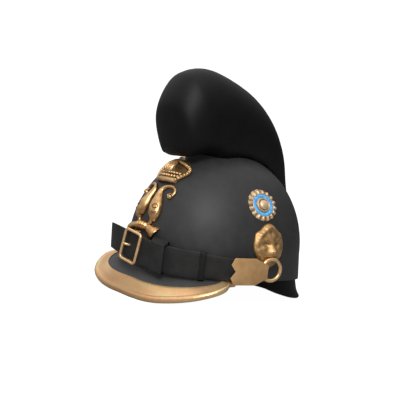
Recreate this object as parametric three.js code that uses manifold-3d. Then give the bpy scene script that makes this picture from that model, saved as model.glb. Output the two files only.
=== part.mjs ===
// A crested leather helmet: skull, peak, neck guard, wool crest, brass fittings and chin strap.
// Millimetres, +Z up, the front faces -Y and the wearer's left is +X. It stands on z = 0.
import * as THREE from 'three';
import Module from 'manifold-3d';
import { mergeVertices } from 'three/addons/utils/BufferGeometryUtils.js';

const wasm = await Module();
wasm.setup();

// Driving dimensions
const HALF_WIDTH = 100; // skull, outside
const HALF_LENGTH = 116.3;
const EQUATOR = 57; // height where the skull is widest
const LEAN = 0.11; // the wall below it runs back by this share of the drop
const RISE = 121; // from the equator to the apex
const SHELL = 3; // leather wall of the skull
const LEATHER = 2.4; // leather of the peak and the neck guard
const GAP = 0.3; // between touching pieces
const BASE_FRONT = 29; // height of the skull's lower edge
const BASE_DROP = 8; // how much lower it is behind
const CENTRE_Y = 7.05; // from the middle of the whole object to the axis of the skull

const PEAK_ROOT = 30; // height where the peak is sewn to the skull
const BAND = 18.5; // width of the brass binding
const EDGE_LIFT = 0.9; // the leather's edge above the underside of the binding's lip
const EDGE_COVER = 1.8; // brass in front of the leather's edge
const RETURN = 6; // how far the binding is folded in under the peak

const FAR_HALF = 15.4; // half the width of the strap with the free end
const NEAR_HALF = 14.2; // half the width of the strap with the buckle
const STRAP = 2; // its thickness
const LAYER = STRAP + 0.5; // from one strap's face to the next
const KEEPER = 1.3; // leather of the keepers
const WIRE = 1.7; // wire radius of the buckle

const PLATE_FRONT = new THREE.Vector2(102.2, -60); // plan line of the end plates' outer faces
const PLATE_REAR = new THREE.Vector2(111, -13);
const PLATE = 1.2;
const PLATE_HEIGHT = 42.5;
const RING_MEAN = 12.6;
const RING_WIRE = 2;

const LION_Y = -3.5;
const LION_Z = 75;
const COCKADE_RADIUS = 20.5;
const COCKADE_TURN = 85.5; // degrees round from the front
const COCKADE_HEIGHT = 118;

const leather = { color: 0x2e2e30, roughness: 0.55, metalness: 0 };
const strapLeather = { color: 0x1c1a1a, roughness: 0.6, metalness: 0 };
const wool = { color: 0x0b0b0c, roughness: 0.95, metalness: 0 };
const brass = { color: 0xb08a52, roughness: 0.35, metalness: 1 };
const enamel = { color: 0x3f9fe0, roughness: 0.25, metalness: 0 };

const helmet = new THREE.Group();
helmet.position.y = CENTRE_Y;

const rad = THREE.MathUtils.degToRad;
const vec = (x, y, z) => new THREE.Vector3(x, y, z);
const range = (count) => Array.from({ length: count }, (_, i) => i);
const spread = (count, from, to) => range(count + 1).map((i) => from + ((to - from) * i) / count);

// Triangles that close a ring of points, which need not be convex, wound as the ring is.
function capFaces(ring) {
  const normal = vec(0, 0, 0);
  ring.forEach((point, i) => normal.add(point.clone().cross(ring[(i + 1) % ring.length])));
  normal.normalize();
  const across = ring[1].clone().sub(ring[0]);
  across.addScaledVector(normal, -across.dot(normal)).normalize();
  const up = normal.clone().cross(across);
  const flat = ring.map((point) => new THREE.Vector2(point.dot(across), point.dot(up)));
  return THREE.ShapeUtils.triangulateShape(flat, []).map((face) => {
    const area = THREE.ShapeUtils.area(face.map((i) => flat[i]));
    return area < 0 ? face.slice().reverse() : face;
  });
}

// A closed body through rings of points. A ring of one point is a pole, and open ends are capped.
function loft(rings, loop = false) {
  const points = [];
  const index = [];
  const spans = rings.map((ring) => {
    const start = points.length;
    points.push(...ring);
    return { start, count: ring.length };
  });
  const join = (a, b) => {
    const count = Math.max(a.count, b.count);
    for (const i of range(count)) {
      const j = (i + 1) % count;
      const [p, q] = [a.start + (i % a.count), a.start + (j % a.count)];
      const [r, s] = [b.start + (i % b.count), b.start + (j % b.count)];
      if (p !== q) index.push(p, q, s);
      if (r !== s) index.push(p, s, r);
    }
  };
  range(loop ? rings.length : rings.length - 1).forEach((k) => join(spans[k], spans[(k + 1) % rings.length]));
  if (!loop) {
    for (const [span, ring, flip] of [[spans[0], rings[0], true], [spans.at(-1), rings.at(-1), false]]) {
      if (span.count === 1) continue;
      for (const face of capFaces(ring)) {
        const corners = face.map((i) => span.start + i);
        index.push(...(flip ? corners.reverse() : corners));
      }
    }
  }
  return outward(points, index);
}

// Turns the faces out where a body was wound inside out.
function outward(points, index) {
  let volume = 0;
  for (let i = 0; i < index.length; i += 3) {
    const [a, b, c] = [points[index[i]], points[index[i + 1]], points[index[i + 2]]];
    volume += a.dot(b.clone().cross(c));
  }
  if (volume < 0) {
    for (let i = 0; i < index.length; i += 3) {
      [index[i + 1], index[i + 2]] = [index[i + 2], index[i + 1]];
    }
  }
  const geometry = new THREE.BufferGeometry().setFromPoints(points);
  geometry.setIndex(index);
  return geometry;
}

function solid(geometry) {
  const bare = geometry.clone();
  bare.deleteAttribute('normal');
  bare.deleteAttribute('uv');
  const merged = mergeVertices(bare, 1e-4);
  return new wasm.Manifold(new wasm.Mesh({
    numProp: 3,
    vertProperties: Float32Array.from(merged.attributes.position.array),
    triVerts: Uint32Array.from(merged.index.array),
  }));
}

function fromSolid(body) {
  const mesh = body.getMesh();
  const geometry = new THREE.BufferGeometry();
  geometry.setAttribute('position', new THREE.BufferAttribute(Float32Array.from(mesh.vertProperties), 3));
  geometry.setIndex(Array.from(mesh.triVerts));
  return geometry;
}

const join = (geometries) => geometries.map(solid).reduce((sum, body) => sum.add(body));

function mirrored(geometry) {
  const copy = geometry.clone().scale(-1, 1, 1);
  const index = copy.index.array;
  for (let i = 0; i < index.length; i += 3) {
    [index[i + 1], index[i + 2]] = [index[i + 2], index[i + 1]];
  }
  return copy;
}

function add(name, geometry, finish, parent = helmet) {
  const mesh = new THREE.Mesh(geometry, new THREE.MeshStandardMaterial(finish));
  mesh.name = name;
  parent.add(mesh);
  return mesh;
}

// The row at t from 0 to 1 along a table, smoothly blended column by column.
function alongRows(rows, t) {
  const place = t * (rows.length - 1);
  const i = Math.min(Math.max(Math.floor(place), 0), rows.length - 2);
  const f = place - i;
  const pick = (k) => rows[Math.min(Math.max(k, 0), rows.length - 1)];
  const [a, b, c, d] = [pick(i - 1), pick(i), pick(i + 1), pick(i + 2)];
  const blend = (key) => {
    const square = 2 * a[key] - 5 * b[key] + 4 * c[key] - d[key];
    const cube = 3 * (b[key] - c[key]) + d[key] - a[key];
    return 0.5 * (2 * b[key] + (c[key] - a[key]) * f + square * f ** 2 + cube * f ** 3);
  };
  return Object.fromEntries(Object.keys(b).map((key) => [key, blend(key)]));
}

// A table of one side becomes a table from the right side round to the left.
function bothSides(rows, turned) {
  const flip = (row) => Object.fromEntries(Object.entries(row).map(([k, v]) => [k, turned.includes(k) ? -v : v]));
  return [...rows.slice(1).reverse().map(flip), ...rows];
}

// The skull's surface, grown by some millimetres, at an angle round from the front and a height.
function skullAt(turn, height, grow = 0) {
  const up = Math.max(height - EQUATOR, 0) / (RISE + grow);
  const scale = Math.sqrt(Math.max(1 - up * up, 0));
  const angle = rad(turn);
  return vec(
    (HALF_WIDTH + grow) * scale * Math.sin(angle),
    -(HALF_LENGTH + grow) * scale * Math.cos(angle) + LEAN * Math.max(EQUATOR - height, 0),
    height,
  );
}

function skullRings(grow, base, turns, levels) {
  const rings = [turns.map((turn) => skullAt(turn, base(turn), grow))];
  for (const k of range(levels)) {
    const height = EQUATOR + (RISE + grow) * Math.sin((k / levels) * (Math.PI / 2));
    rings.push(turns.map((turn) => skullAt(turn, height, grow)));
  }
  rings.push([vec(0, 0, EQUATOR + RISE + grow)]);
  return rings;
}

const baseHeight = (turn) => {
  const back = THREE.MathUtils.smoothstep(Math.abs(turn > 180 ? turn - 360 : turn), 95, 165);
  return BASE_FRONT - BASE_DROP * back;
};
const SKULL_SIDES = 40;
const skullTurns = range(SKULL_SIDES).map((i) => (i * 360) / SKULL_SIDES);
const skullLevels = 9;
const skullBlock = solid(loft(skullRings(GAP, () => -40, skullTurns, skullLevels)));

function crownShell() {
  const outer = skullRings(0, baseHeight, skullTurns, skullLevels);
  const inner = skullRings(-SHELL, baseHeight, skullTurns, skullLevels);
  return loft([...outer.reverse(), ...inner]);
}

// The peak's lower edge on one side, from the middle of the front, with where it is sewn on
// and how far it is rounded up between the two.
const peakRows = bothSides([
  { x: 0, y: -139, z: 0, root: 0, bulge: 5 },
  { x: 28, y: -138.2, z: 0, root: 12, bulge: 5 },
  { x: 56, y: -134, z: 2, root: 24, bulge: 5 },
  { x: 81, y: -126, z: 7, root: 34, bulge: 5 },
  { x: 100, y: -113.5, z: 12.6, root: 42, bulge: 4.5 },
  { x: 112, y: -100.5, z: 18.4, root: 46.5, bulge: 3.5 },
  { x: 118, y: -87.5, z: 23.6, root: 50, bulge: 2.5 },
  { x: 115.8, y: -75.5, z: 26.6, root: 53, bulge: 1.8 },
  { x: 108, y: -65.8, z: 26.8, root: 56, bulge: 1.2 },
  { x: 100.2, y: -57, z: 26.6, root: 59.5, bulge: 0.8 },
  { x: 98.2, y: -47, z: 26.2, root: 65, bulge: 0.4 },
], ['x', 'root']);

// From the peak's edge to where it is sewn on, and the width of the binding, which is less at the ends.
function peakReach(t) {
  const row = alongRows(peakRows, t);
  return vec(row.x, row.y, row.z + EDGE_LIFT).distanceTo(skullAt(row.root, PEAK_ROOT, -1));
}
const bandAt = (t) => Math.min(BAND, peakReach(t) - 1);

// A point of the peak's upper face, at a depth in from its edge.
function peakFace(t, depth) {
  const row = alongRows(peakRows, t);
  const edge = vec(row.x, row.y, row.z + EDGE_LIFT);
  const root = skullAt(row.root, PEAK_ROOT, -1);
  const across = 1 - depth / edge.distanceTo(root);
  const point = root.lerp(edge, across);
  point.z += row.bulge * Math.sin(Math.PI * Math.min(across, 1.1));
  return point;
}

function peakPoint(t, depth, lift) {
  const step = 0.004;
  const along = peakFace(t + step, depth).sub(peakFace(t - step, depth));
  const inward = peakFace(t, depth + 0.5).sub(peakFace(t, depth - 0.5));
  const normal = along.cross(inward).normalize();
  if (normal.z < 0) normal.negate();
  return peakFace(t, depth).addScaledVector(normal, lift);
}

const PEAK_END = 0.004; // share of the edge left off at each end of the binding
const LEATHER_END = 0.01; // and of the leather inside it
const peakStations = spread(32, PEAK_END, 1 - PEAK_END);
const leatherStations = peakStations.map((t) => THREE.MathUtils.clamp(t, LEATHER_END, 1 - LEATHER_END));

function frontPeak() {
  const edge = EDGE_COVER + GAP + 0.1;
  const rings = leatherStations.map((t) => {
    const band = bandAt(t);
    const depths = [edge, RETURN, ...spread(2, band + 0.5, Math.max(peakReach(t), band + 4))];
    const top = depths.map((depth) => peakPoint(t, depth, 0));
    const under = depths.reverse().map((depth) => peakPoint(t, depth, -LEATHER));
    return [...top, ...under];
  });
  return fromSolid(solid(loft(rings)).subtract(skullBlock));
}

// Section of the binding: how far in from the edge, and how far above the leather.
const bindingSection = [
  { depth: BAND, lift: GAP },
  { depth: BAND, lift: 1.2 },
  { depth: 5.4, lift: 1.3 },
  { depth: 3.9, lift: 2.4 },
  { depth: 1.6, lift: 2.5 },
  { depth: 0, lift: 0.9 },
  { depth: -0.2, lift: -1.8 },
  { depth: 1.2, lift: -3.6 },
  { depth: RETURN, lift: -3.6 },
  { depth: RETURN, lift: -LEATHER - GAP },
  { depth: EDGE_COVER, lift: -LEATHER - GAP },
  { depth: EDGE_COVER, lift: GAP },
  { depth: RETURN, lift: GAP },
];

function peakBinding() {
  const rings = peakStations.map((t) => bindingSection.map(({ depth, lift }) => (
    peakPoint(t, Math.min(depth, bandAt(t)), lift)
  )));
  return fromSolid(solid(loft(rings)).subtract(skullBlock).trimByPlane([0, 0, 1], 0));
}

// The neck guard's lower edge, round from the left side to the middle of the back.
const guardRows = [
  { turn: 77, rim: 26, flare: -3.4 },
  { turn: 87, rim: 21.5, flare: -1.5 },
  { turn: 98, rim: 14, flare: 0 },
  { turn: 113, rim: 6.2, flare: 1.4 },
  { turn: 130, rim: 1.2, flare: 1.8 },
  { turn: 146, rim: 0, flare: 2.4 },
  { turn: 163, rim: 0, flare: 3 },
  { turn: 180, rim: 0, flare: 3.4 },
];
const guardRound = [
  ...guardRows,
  ...guardRows.slice(0, -1).reverse().map((row) => ({ ...row, turn: 360 - row.turn })),
];

function neckGuard() {
  const tuck = -SHELL - 0.9;
  const rings = spread(36, 0, 1).map((t) => {
    const { turn, rim, flare } = alongRows(guardRound, t);
    const foot = Math.max(rim, 0);
    const base = baseHeight(turn);
    const side = [
      { grow: tuck, height: base + 9 },
      { grow: tuck, height: base - 0.5 },
      { grow: tuck + (flare - tuck) * 0.3, height: foot + (base - foot) * 0.45 },
      { grow: flare, height: foot },
    ];
    const outer = side.map(({ grow, height }) => skullAt(turn, height, grow));
    const inner = side.map(({ grow, height }) => skullAt(turn, height, grow - LEATHER)).reverse();
    return [...outer, ...inner];
  });
  return loft(rings);
}

// The crest in planes through the middle of the skull: the plane's angle back from upright,
// how far in and out the wool reaches there, and half its width.
const crestRows = [
  { angle: -38, inner: 140, outer: 149, half: 14 },
  { angle: -34.3, inner: 131, outer: 169.5, half: 27 },
  { angle: -30.5, inner: 129, outer: 195.5, half: 35 },
  { angle: -24, inner: 125.5, outer: 216.5, half: 39.8 },
  { angle: -19.5, inner: 119, outer: 222.3, half: 41 },
  { angle: -13, inner: 108, outer: 221, half: 41 },
  { angle: -3, inner: 108, outer: 208, half: 40.2 },
  { angle: 8, inner: 108, outer: 194, half: 38.5 },
  { angle: 20, inner: 108, outer: 176.3, half: 35 },
  { angle: 32, inner: 108, outer: 156, half: 31 },
  { angle: 45, inner: 106, outer: 135, half: 26 },
  { angle: 58, inner: 104, outer: 126.5, half: 21.4 },
  { angle: 72, inner: 103, outer: 123.2, half: 18.6 },
  { angle: 86, inner: 104, outer: 121, half: 15 },
  { angle: 97, inner: 108, outer: 119.6, half: 9 },
];
const CREST_SIDES = 14;
const CREST_SQUARENESS = 2.5;

function crest() {
  const power = 2 / CREST_SQUARENESS;
  const soft = (v) => Math.sign(v) * Math.abs(v) ** power;
  const rings = spread(26, 0, 1).map((t) => {
    const { angle, inner, outer, half } = alongRows(crestRows, t);
    const [middle, reach] = [(inner + outer) / 2, (outer - inner) / 2];
    return range(CREST_SIDES).map((i) => {
      const a = (i / CREST_SIDES) * 2 * Math.PI;
      const radius = middle + reach * soft(Math.sin(a));
      return vec(
        half * soft(Math.cos(a)),
        radius * Math.sin(rad(angle)),
        EQUATOR + radius * Math.cos(rad(angle)),
      );
    });
  });
  return fromSolid(solid(loft(rings)).subtract(skullBlock));
}

// A tapered bar through table rows of x, y, z and radius. A row's rise flattens it in one direction.
function taperedBar(rows, steps, sides, across) {
  const at = (t) => {
    const row = alongRows(rows, t);
    return { point: vec(row.x, row.y, row.z), radius: row.radius, rise: row.rise ?? 1 };
  };
  const rings = spread(steps, 0, 1).map((t) => {
    const { point, radius, rise } = at(t);
    const heading = at(Math.min(t + 0.01, 1)).point.sub(at(Math.max(t - 0.01, 0)).point).normalize();
    const out = across(point).addScaledVector(heading, -across(point).dot(heading)).normalize();
    const side = heading.clone().cross(out);
    return range(sides).map((i) => {
      const a = (i / sides) * 2 * Math.PI;
      return point.clone()
        .addScaledVector(side, radius * Math.cos(a))
        .addScaledVector(out, radius * rise * Math.sin(a));
    });
  });
  return loft(rings);
}

const skullNormal = (point) => vec(
  point.x / HALF_WIDTH ** 2,
  point.y / HALF_LENGTH ** 2,
  Math.max(point.z - EQUATOR, 0) / RISE ** 2,
).normalize();

// The skull's front at a place across and a height.
function skullFront(x, z, grow) {
  const across = x / (HALF_WIDTH + grow);
  const up = Math.max(z - EQUATOR, 0) / (RISE + grow);
  return vec(x, -(HALF_LENGTH + grow) * Math.sqrt(Math.max(1 - across ** 2 - up ** 2, 0)), z);
}

// A place of the crown badge: across, up from its lower edge, and off the skull.
const CROWN_BASE = 132.6;
const crownPlace = (across, up, lift) => skullFront(across, CROWN_BASE + up, lift);

// One arch of the crown, from its band out and over to the top.
const crownArch = [
  { across: 16.5, up: 3.5, lift: 1.8, radius: 2.4 },
  { across: 21.5, up: 8.2, lift: 2.4, radius: 2.5 },
  { across: 25.6, up: 13.2, lift: 3.2, radius: 2.7 },
  { across: 23.6, up: 18, lift: 4.2, radius: 2.7 },
  { across: 17.5, up: 21.8, lift: 5, radius: 2.6 },
  { across: 9.5, up: 25, lift: 5.6, radius: 2.5 },
  { across: 1, up: 27.2, lift: 6, radius: 2.2 },
];
// The broad leaf in the middle of its front.
const crownLeaf = [
  { up: 4, lift: 6.4, radius: 6 },
  { up: 10, lift: 6, radius: 6.2 },
  { up: 16, lift: 5.6, radius: 5.6 },
  { up: 21, lift: 5.4, radius: 4.6 },
  { up: 26, lift: 5.2, radius: 3.2 },
];
const LEAF_RISE = 0.42;
const crownCap = [
  { up: 1, half: 15, lift: 3 },
  { up: 8, half: 19.5, lift: 3 },
  { up: 13.5, half: 24, lift: 3 },
  { up: 19, half: 21.5, lift: 3.6 },
  { up: 23, half: 15, lift: 4 },
  { up: 27, half: 7, lift: 4.4 },
];
const CROWN_BAND = { half: 18.5, height: 12.5, lip: 6, low: 1.4, sag: 1.2, lift: 7.4, side: 3.4 };
const ORB = { up: 29.4, lift: 5.4, half: 5.4, radius: 2.6 };

function crownBadge() {
  const cap = loft(crownCap.map(({ up, half, lift }) => {
    const places = spread(4, -half, half);
    const front = places.map((x) => crownPlace(x, up, lift));
    const back = places.reverse().map((x) => crownPlace(x, up, -1));
    return [...front, ...back];
  }));
  const { half: bandHalf, height, lip, low, sag, lift: bandLift, side: sideLift } = CROWN_BAND;
  const band = loft(spread(6, -bandHalf, bandHalf).map((x) => {
    const share = (x / bandHalf) ** 2;
    const foot = low - sag * share;
    const lift = bandLift + (sideLift - bandLift) * share;
    const front = [[0, lift - 2.4], [2.6, lift], [lip, lift], [height - 1.2, lift - 1.6], [height, lift - 2.8]];
    const corners = [[0, -1], ...front, [height, -1]];
    return corners.map(([up, off]) => crownPlace(x, foot + up, off));
  }));
  const arches = [1, -1].map((side) => taperedBar(
    crownArch.map(({ across, up, lift, radius }) => ({ ...crownPlace(side * across, up, lift), radius })),
    8, 6, skullNormal,
  ));
  const leaf = taperedBar(
    crownLeaf.map(({ up, lift, radius }) => ({ ...crownPlace(0, up, lift), radius, rise: LEAF_RISE })),
    4, 6, skullNormal,
  );
  const orb = taperedBar([-1, -0.6, 0.6, 1].map((share) => ({
    ...crownPlace(share * ORB.half, ORB.up, ORB.lift), radius: ORB.radius * (Math.abs(share) === 1 ? 0.5 : 1),
  })), 3, 6, skullNormal);
  return fromSolid(join([cap, band, leaf, orb, ...arches]).subtract(skullBlock));
}

// One curled drop of the scroll badge, from its stem up and over to the curl's end.
const dropRows = [
  { x: 9.8, z: 82.6, radius: 2.6, rise: 0.9 },
  { x: 12, z: 86.4, radius: 2.5, rise: 1 },
  { x: 14.2, z: 90.8, radius: 5, rise: 0.85 },
  { x: 14.2, z: 95.4, radius: 7.6, rise: 0.68 },
  { x: 13, z: 100.5, radius: 8.6, rise: 0.62 },
  { x: 11.4, z: 106, radius: 8.4, rise: 0.62 },
  { x: 9.4, z: 112.5, radius: 6.6, rise: 0.68 },
  { x: 7.4, z: 118.5, radius: 4.6, rise: 0.8 },
  { x: 7, z: 123.2, radius: 3.5, rise: 0.9 },
  { x: 10.6, z: 127.2, radius: 2.9, rise: 0.95 },
  { x: 17, z: 128.7, radius: 2.4, rise: 1 },
  { x: 23.4, z: 127, radius: 2.1, rise: 1 },
  { x: 26.8, z: 122.6, radius: 2, rise: 1 },
  { x: 26, z: 118.6, radius: 2.2, rise: 1 },
];
const CURL_BALL = { x: 24, z: 117.3, radius: 3.3 }; // at the end of each curl
const DROP_LIFT = 0.5; // the drops' axis off the skull
// Half of the bar under the drops: beads, then a trumpet that is bent down to its mouth.
const footRows = [
  { x: -0.5, z: 81.6, radius: 3.4, lift: 1.6 },
  { x: 2, z: 81.5, radius: 4.8, lift: 1.6 },
  { x: 4.6, z: 81.2, radius: 3.6, lift: 1.5 },
  { x: 7, z: 80.8, radius: 5, lift: 1.4 },
  { x: 9.2, z: 80.3, radius: 3.8, lift: 1.2 },
  { x: 12, z: 79.4, radius: 4.1, lift: 1 },
  { x: 15, z: 78.2, radius: 5, lift: 0.6 },
  { x: 18, z: 76.7, radius: 6.3, lift: 0.1 },
  { x: 20.4, z: 75.3, radius: 7.5, lift: -0.4 },
  { x: 22, z: 74.3, radius: 8.2, lift: -0.8 },
  { x: 22.8, z: 73.8, radius: 7.4, lift: -1 },
];

function scrollBadge() {
  const onSkull = ({ x, z, lift = DROP_LIFT, ...rest }) => ({ ...skullFront(x, z, lift), ...rest });
  const drop = taperedBar(dropRows.map(onSkull), 18, 6, skullNormal);
  const foot = taperedBar(footRows.map(onSkull), footRows.length - 1, 7, skullNormal);
  const ball = new THREE.SphereGeometry(CURL_BALL.radius, 7, 5);
  ball.translate(...skullFront(CURL_BALL.x, CURL_BALL.z, DROP_LIFT));
  const half = join([drop, foot, ball]);
  return fromSolid(half.add(half.mirror([1, 0, 0])).subtract(skullBlock));
}

// Plan and height of the strap's outer face, from the left end plate round the front to the right,
// with how far its lower edge leans out and the share of its full width.
const strapRows = [
  { x: 110, y: -22, z: PLATE_HEIGHT, lean: 0, wide: 0.9 },
  { x: 106.6, y: -41, z: PLATE_HEIGHT, lean: 0, wide: 0.9 },
  { x: 103, y: -58, z: 44.4, lean: 0, wide: 0.92 },
  { x: 94, y: -74, z: 45.9, lean: 0, wide: 0.95 },
  { x: 80, y: -89, z: 46.6, lean: 0.3, wide: 0.97 },
  { x: 62, y: -104, z: 47, lean: 0.6, wide: 1 },
  { x: 41, y: -116.6, z: 48.8, lean: 1.2, wide: 1 },
  { x: 21, y: -125.4, z: 52.2, lean: 2.4, wide: 1 },
  { x: 4, y: -128.8, z: 55.4, lean: 3.3, wide: 1 },
  { x: -13, y: -130.2, z: 58, lean: 3.3, wide: 1 },
  { x: -35, y: -129, z: 60.2, lean: 2.4, wide: 1 },
  { x: -58, y: -121, z: 59.6, lean: 1.6, wide: 1 },
  { x: -78, y: -105, z: 55.4, lean: 0.8, wide: 0.97 },
  { x: -90, y: -86, z: 49.8, lean: 0, wide: 0.92 },
  { x: -97, y: -70, z: 46.8, lean: 0, wide: 0.87 },
  { x: -100.8, y: -56, z: 44.8, lean: 0, wide: 0.84 },
  { x: -104.4, y: -40, z: PLATE_HEIGHT, lean: 0, wide: 0.83 },
  { x: -107.8, y: -22, z: PLATE_HEIGHT, lean: 0, wide: 0.83 },
];

// A point of the strap at t along its table, so far out from its face and up from its middle.
function strapPoint(t, out, up) {
  const row = alongRows(strapRows, t);
  const [a, b] = [alongRows(strapRows, t - 0.002), alongRows(strapRows, t + 0.002)];
  const normal = vec(a.y - b.y, b.x - a.x, 0).normalize();
  const rise = up * row.wide;
  return vec(row.x, row.y, row.z + rise).addScaledVector(normal, out - (row.lean * rise) / FAR_HALF);
}

// Where along the table the strap passes a place across, on the front.
function strapAcross(x) {
  let [low, high] = [0.12, 0.88];
  for (const _ of range(40)) {
    const middle = (low + high) / 2;
    if (alongRows(strapRows, middle).x > x) low = middle;
    else high = middle;
  }
  return low;
}

function strapLength(from, to, steps, inner, outer, half) {
  return loft(spread(steps, from, to).map((t) => [
    strapPoint(t, outer, half),
    strapPoint(t, outer, -half),
    strapPoint(t, inner, -half),
    strapPoint(t, inner, half),
  ]));
}

// The buckle stands on the strap's face. Its own axes: along the strap, up, and out.
const BUCKLE_X = 4.5;
const BUCKLE = { half: 13.4, height: 17.6, corner: 4, rail: GAP + WIRE + 0.7 };
const BAR = { out: -LAYER - STRAP - GAP - 1.3, radius: 1.3 };
const PRONG = { radius: 1.4, tip: -11.2 };
const HOLE = { from: -9.5, to: -1.5, half: 2.1 };
const BAR_TURN_BACK = 12; // how far the near strap is folded back behind the bar
const FOLD_LAP = 0.002; // share of the strap that runs into its fold

const buckleT = strapAcross(BUCKLE_X);
const buckleOrigin = strapPoint(buckleT, 0, 0);
const buckleOut = strapPoint(buckleT, 1, 0).sub(buckleOrigin);
const buckleUp = strapPoint(buckleT, 0, 1).sub(buckleOrigin).normalize();
const buckleAlong = buckleUp.clone().cross(buckleOut).normalize();
buckleOut.crossVectors(buckleAlong, buckleUp).normalize();
const buckleFrame = new THREE.Group();
buckleFrame.matrixAutoUpdate = false;
buckleFrame.matrix.makeBasis(buckleAlong, buckleUp, buckleOut).setPosition(buckleOrigin);
const inBuckle = (along, up, out) => vec(along, up, out).applyMatrix4(buckleFrame.matrix);

function roundedFrame({ half, height, corner }) {
  const corners = [[1, 1, 0], [-1, 1, 90], [-1, -1, 180], [1, -1, 270]];
  return corners.flatMap(([sx, sy, start]) => spread(3, start, start + 90).map((degrees) => vec(
    sx * (half - corner) + corner * Math.cos(rad(degrees)),
    sy * (height - corner) + corner * Math.sin(rad(degrees)),
    BUCKLE.rail,
  )));
}

function buckleBody() {
  const path = roundedFrame(BUCKLE);
  const count = path.length;
  const frame = loft(path.map((point, i) => {
    const heading = path[(i + 1) % count].clone().sub(path[(i + count - 1) % count]).normalize();
    const side = heading.clone().cross(vec(0, 0, 1));
    return range(6).map((k) => {
      const a = (k / 6) * 2 * Math.PI;
      return point.clone().addScaledVector(side, WIRE * Math.cos(a)).add(vec(0, 0, WIRE * Math.sin(a)));
    });
  }), true);
  const bend = [
    { x: 0, y: BUCKLE.height, z: BUCKLE.rail, radius: BAR.radius },
    { x: 0, y: BUCKLE.height, z: BAR.out + 2, radius: BAR.radius },
    { x: 0, y: BUCKLE.height - 0.8, z: BAR.out, radius: BAR.radius },
    { x: 0, y: 8, z: BAR.out, radius: BAR.radius },
  ];
  const rows = [...bend, ...bend.slice().reverse().map((row) => ({ ...row, y: -row.y }))];
  const bar = taperedBar(rows, 14, 6, () => vec(1, 0, 0));
  return fromSolid(solid(frame).add(solid(bar)));
}

function prong() {
  const collar = new THREE.LatheGeometry([
    new THREE.Vector2(BAR.radius + GAP, -1.4), new THREE.Vector2(BAR.radius + 1.3, -1.4),
    new THREE.Vector2(BAR.radius + 1.3, 1.4), new THREE.Vector2(BAR.radius + GAP, 1.4),
    new THREE.Vector2(BAR.radius + GAP, -1.4),
  ], 8);
  collar.translate(0, 0, BAR.out);
  const over = BUCKLE.rail + WIRE + 0.5;
  const arm = taperedBar([
    { x: -3, y: 0, z: BAR.out - 0.4, radius: PRONG.radius },
    { x: -3.8, y: 0, z: BAR.out + 3, radius: PRONG.radius },
    { x: -5.4, y: 0, z: 1.4, radius: PRONG.radius },
    { x: -8, y: 0, z: over - 0.7, radius: PRONG.radius },
    { x: PRONG.tip, y: 0, z: over, radius: PRONG.radius * 0.7 },
  ], 7, 6, () => vec(0, 1, 0));
  return fromSolid(solid(collar).add(solid(arm)));
}

// A straight-sided slot through a strap at the buckle.
function slot(from, to, half) {
  const box = new THREE.BoxGeometry(to - from, 2 * half, 30);
  box.translate((from + to) / 2, 0, 0);
  return solid(box.applyMatrix4(buckleFrame.matrix));
}

const tailT = strapAcross(82); // the far strap's end, inside the second keeper
const plateT = 0.018; // the straps' ends, behind the end plates

function farStrap() {
  const body = strapLength(tailT, 1 - plateT, 52, -STRAP, 0, FAR_HALF);
  return fromSolid(solid(body).subtract(slot(HOLE.from, HOLE.to, HOLE.half)));
}

// The near strap runs under the far strap's end and is folded back round the buckle's bar.
function nearStrap() {
  const [top, under] = [-LAYER, BAR.out - BAR.radius - GAP];
  const body = strapLength(plateT, buckleT + FOLD_LAP, 30, top - STRAP, top, NEAR_HALF);
  const half = NEAR_HALF;
  const middle = BAR.out;
  const inside = top - STRAP - middle;
  const outside = top - middle;
  const fold = spread(7, -90, 90).map((degrees) => {
    const [c, s] = [Math.cos(rad(degrees)), -Math.sin(rad(degrees))];
    const at = (radius, up) => inBuckle(-radius * c, up, middle + radius * s);
    return [at(outside, half), at(outside, -half), at(inside, -half), at(inside, half)];
  });
  const back = [BAR_TURN_BACK / 2, BAR_TURN_BACK].map((along) => [
    inBuckle(along, half, under - STRAP), inBuckle(along, -half, under - STRAP),
    inBuckle(along, -half, under), inBuckle(along, half, under),
  ]);
  const turn = loft([...fold, ...back]);
  const whole = solid(body).add(solid(turn));
  return fromSolid(whole.subtract(slot(-12, 4.5, HOLE.half)));
}

// A narrow loop round both straps.
function keeper(x, width) {
  const middle = strapAcross(x);
  const reach = Math.abs(strapAcross(x - width / 2) - middle);
  const [inner, outer] = [-LAYER - STRAP - GAP, GAP];
  const wall = (grow, end) => solid(strapLength(
    middle - reach * end, middle + reach * end, 3, inner - grow, outer + grow, FAR_HALF + GAP + grow,
  ));
  return fromSolid(wall(KEEPER, 1).subtract(wall(0, 1.3)));
}

// A wide loop round both straps. It is loose: its front stands off towards the wearer's left, and its
// top stands up over the straps' edges.
const LOOP = { from: 27, to: 44.7, back: -6.6, ridge: -4.2, slack: 3.4, near: 0.5, off: 4 };
function wideKeeper() {
  const [low, high] = [strapAcross(LOOP.to), strapAcross(LOOP.from)];
  const wall = (grow, past) => {
    const half = FAR_HALF + GAP + grow;
    return solid(loft(spread(5, low - past, high + past).map((t) => {
      const front = grow + LOOP.near + (LOOP.off - LOOP.near) * ((high - t) / (high - low));
      const section = [
        [front, -half], [front, half - grow * 0.5], [LOOP.ridge, half + LOOP.slack + grow * 0.2],
        [LOOP.back - grow, half + 1.2], [LOOP.back - grow, -half],
      ];
      return section.map(([out, up]) => strapPoint(t, out, up));
    })));
  };
  return fromSolid(wall(KEEPER, 0).subtract(wall(0, 0.01)));
}

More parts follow.
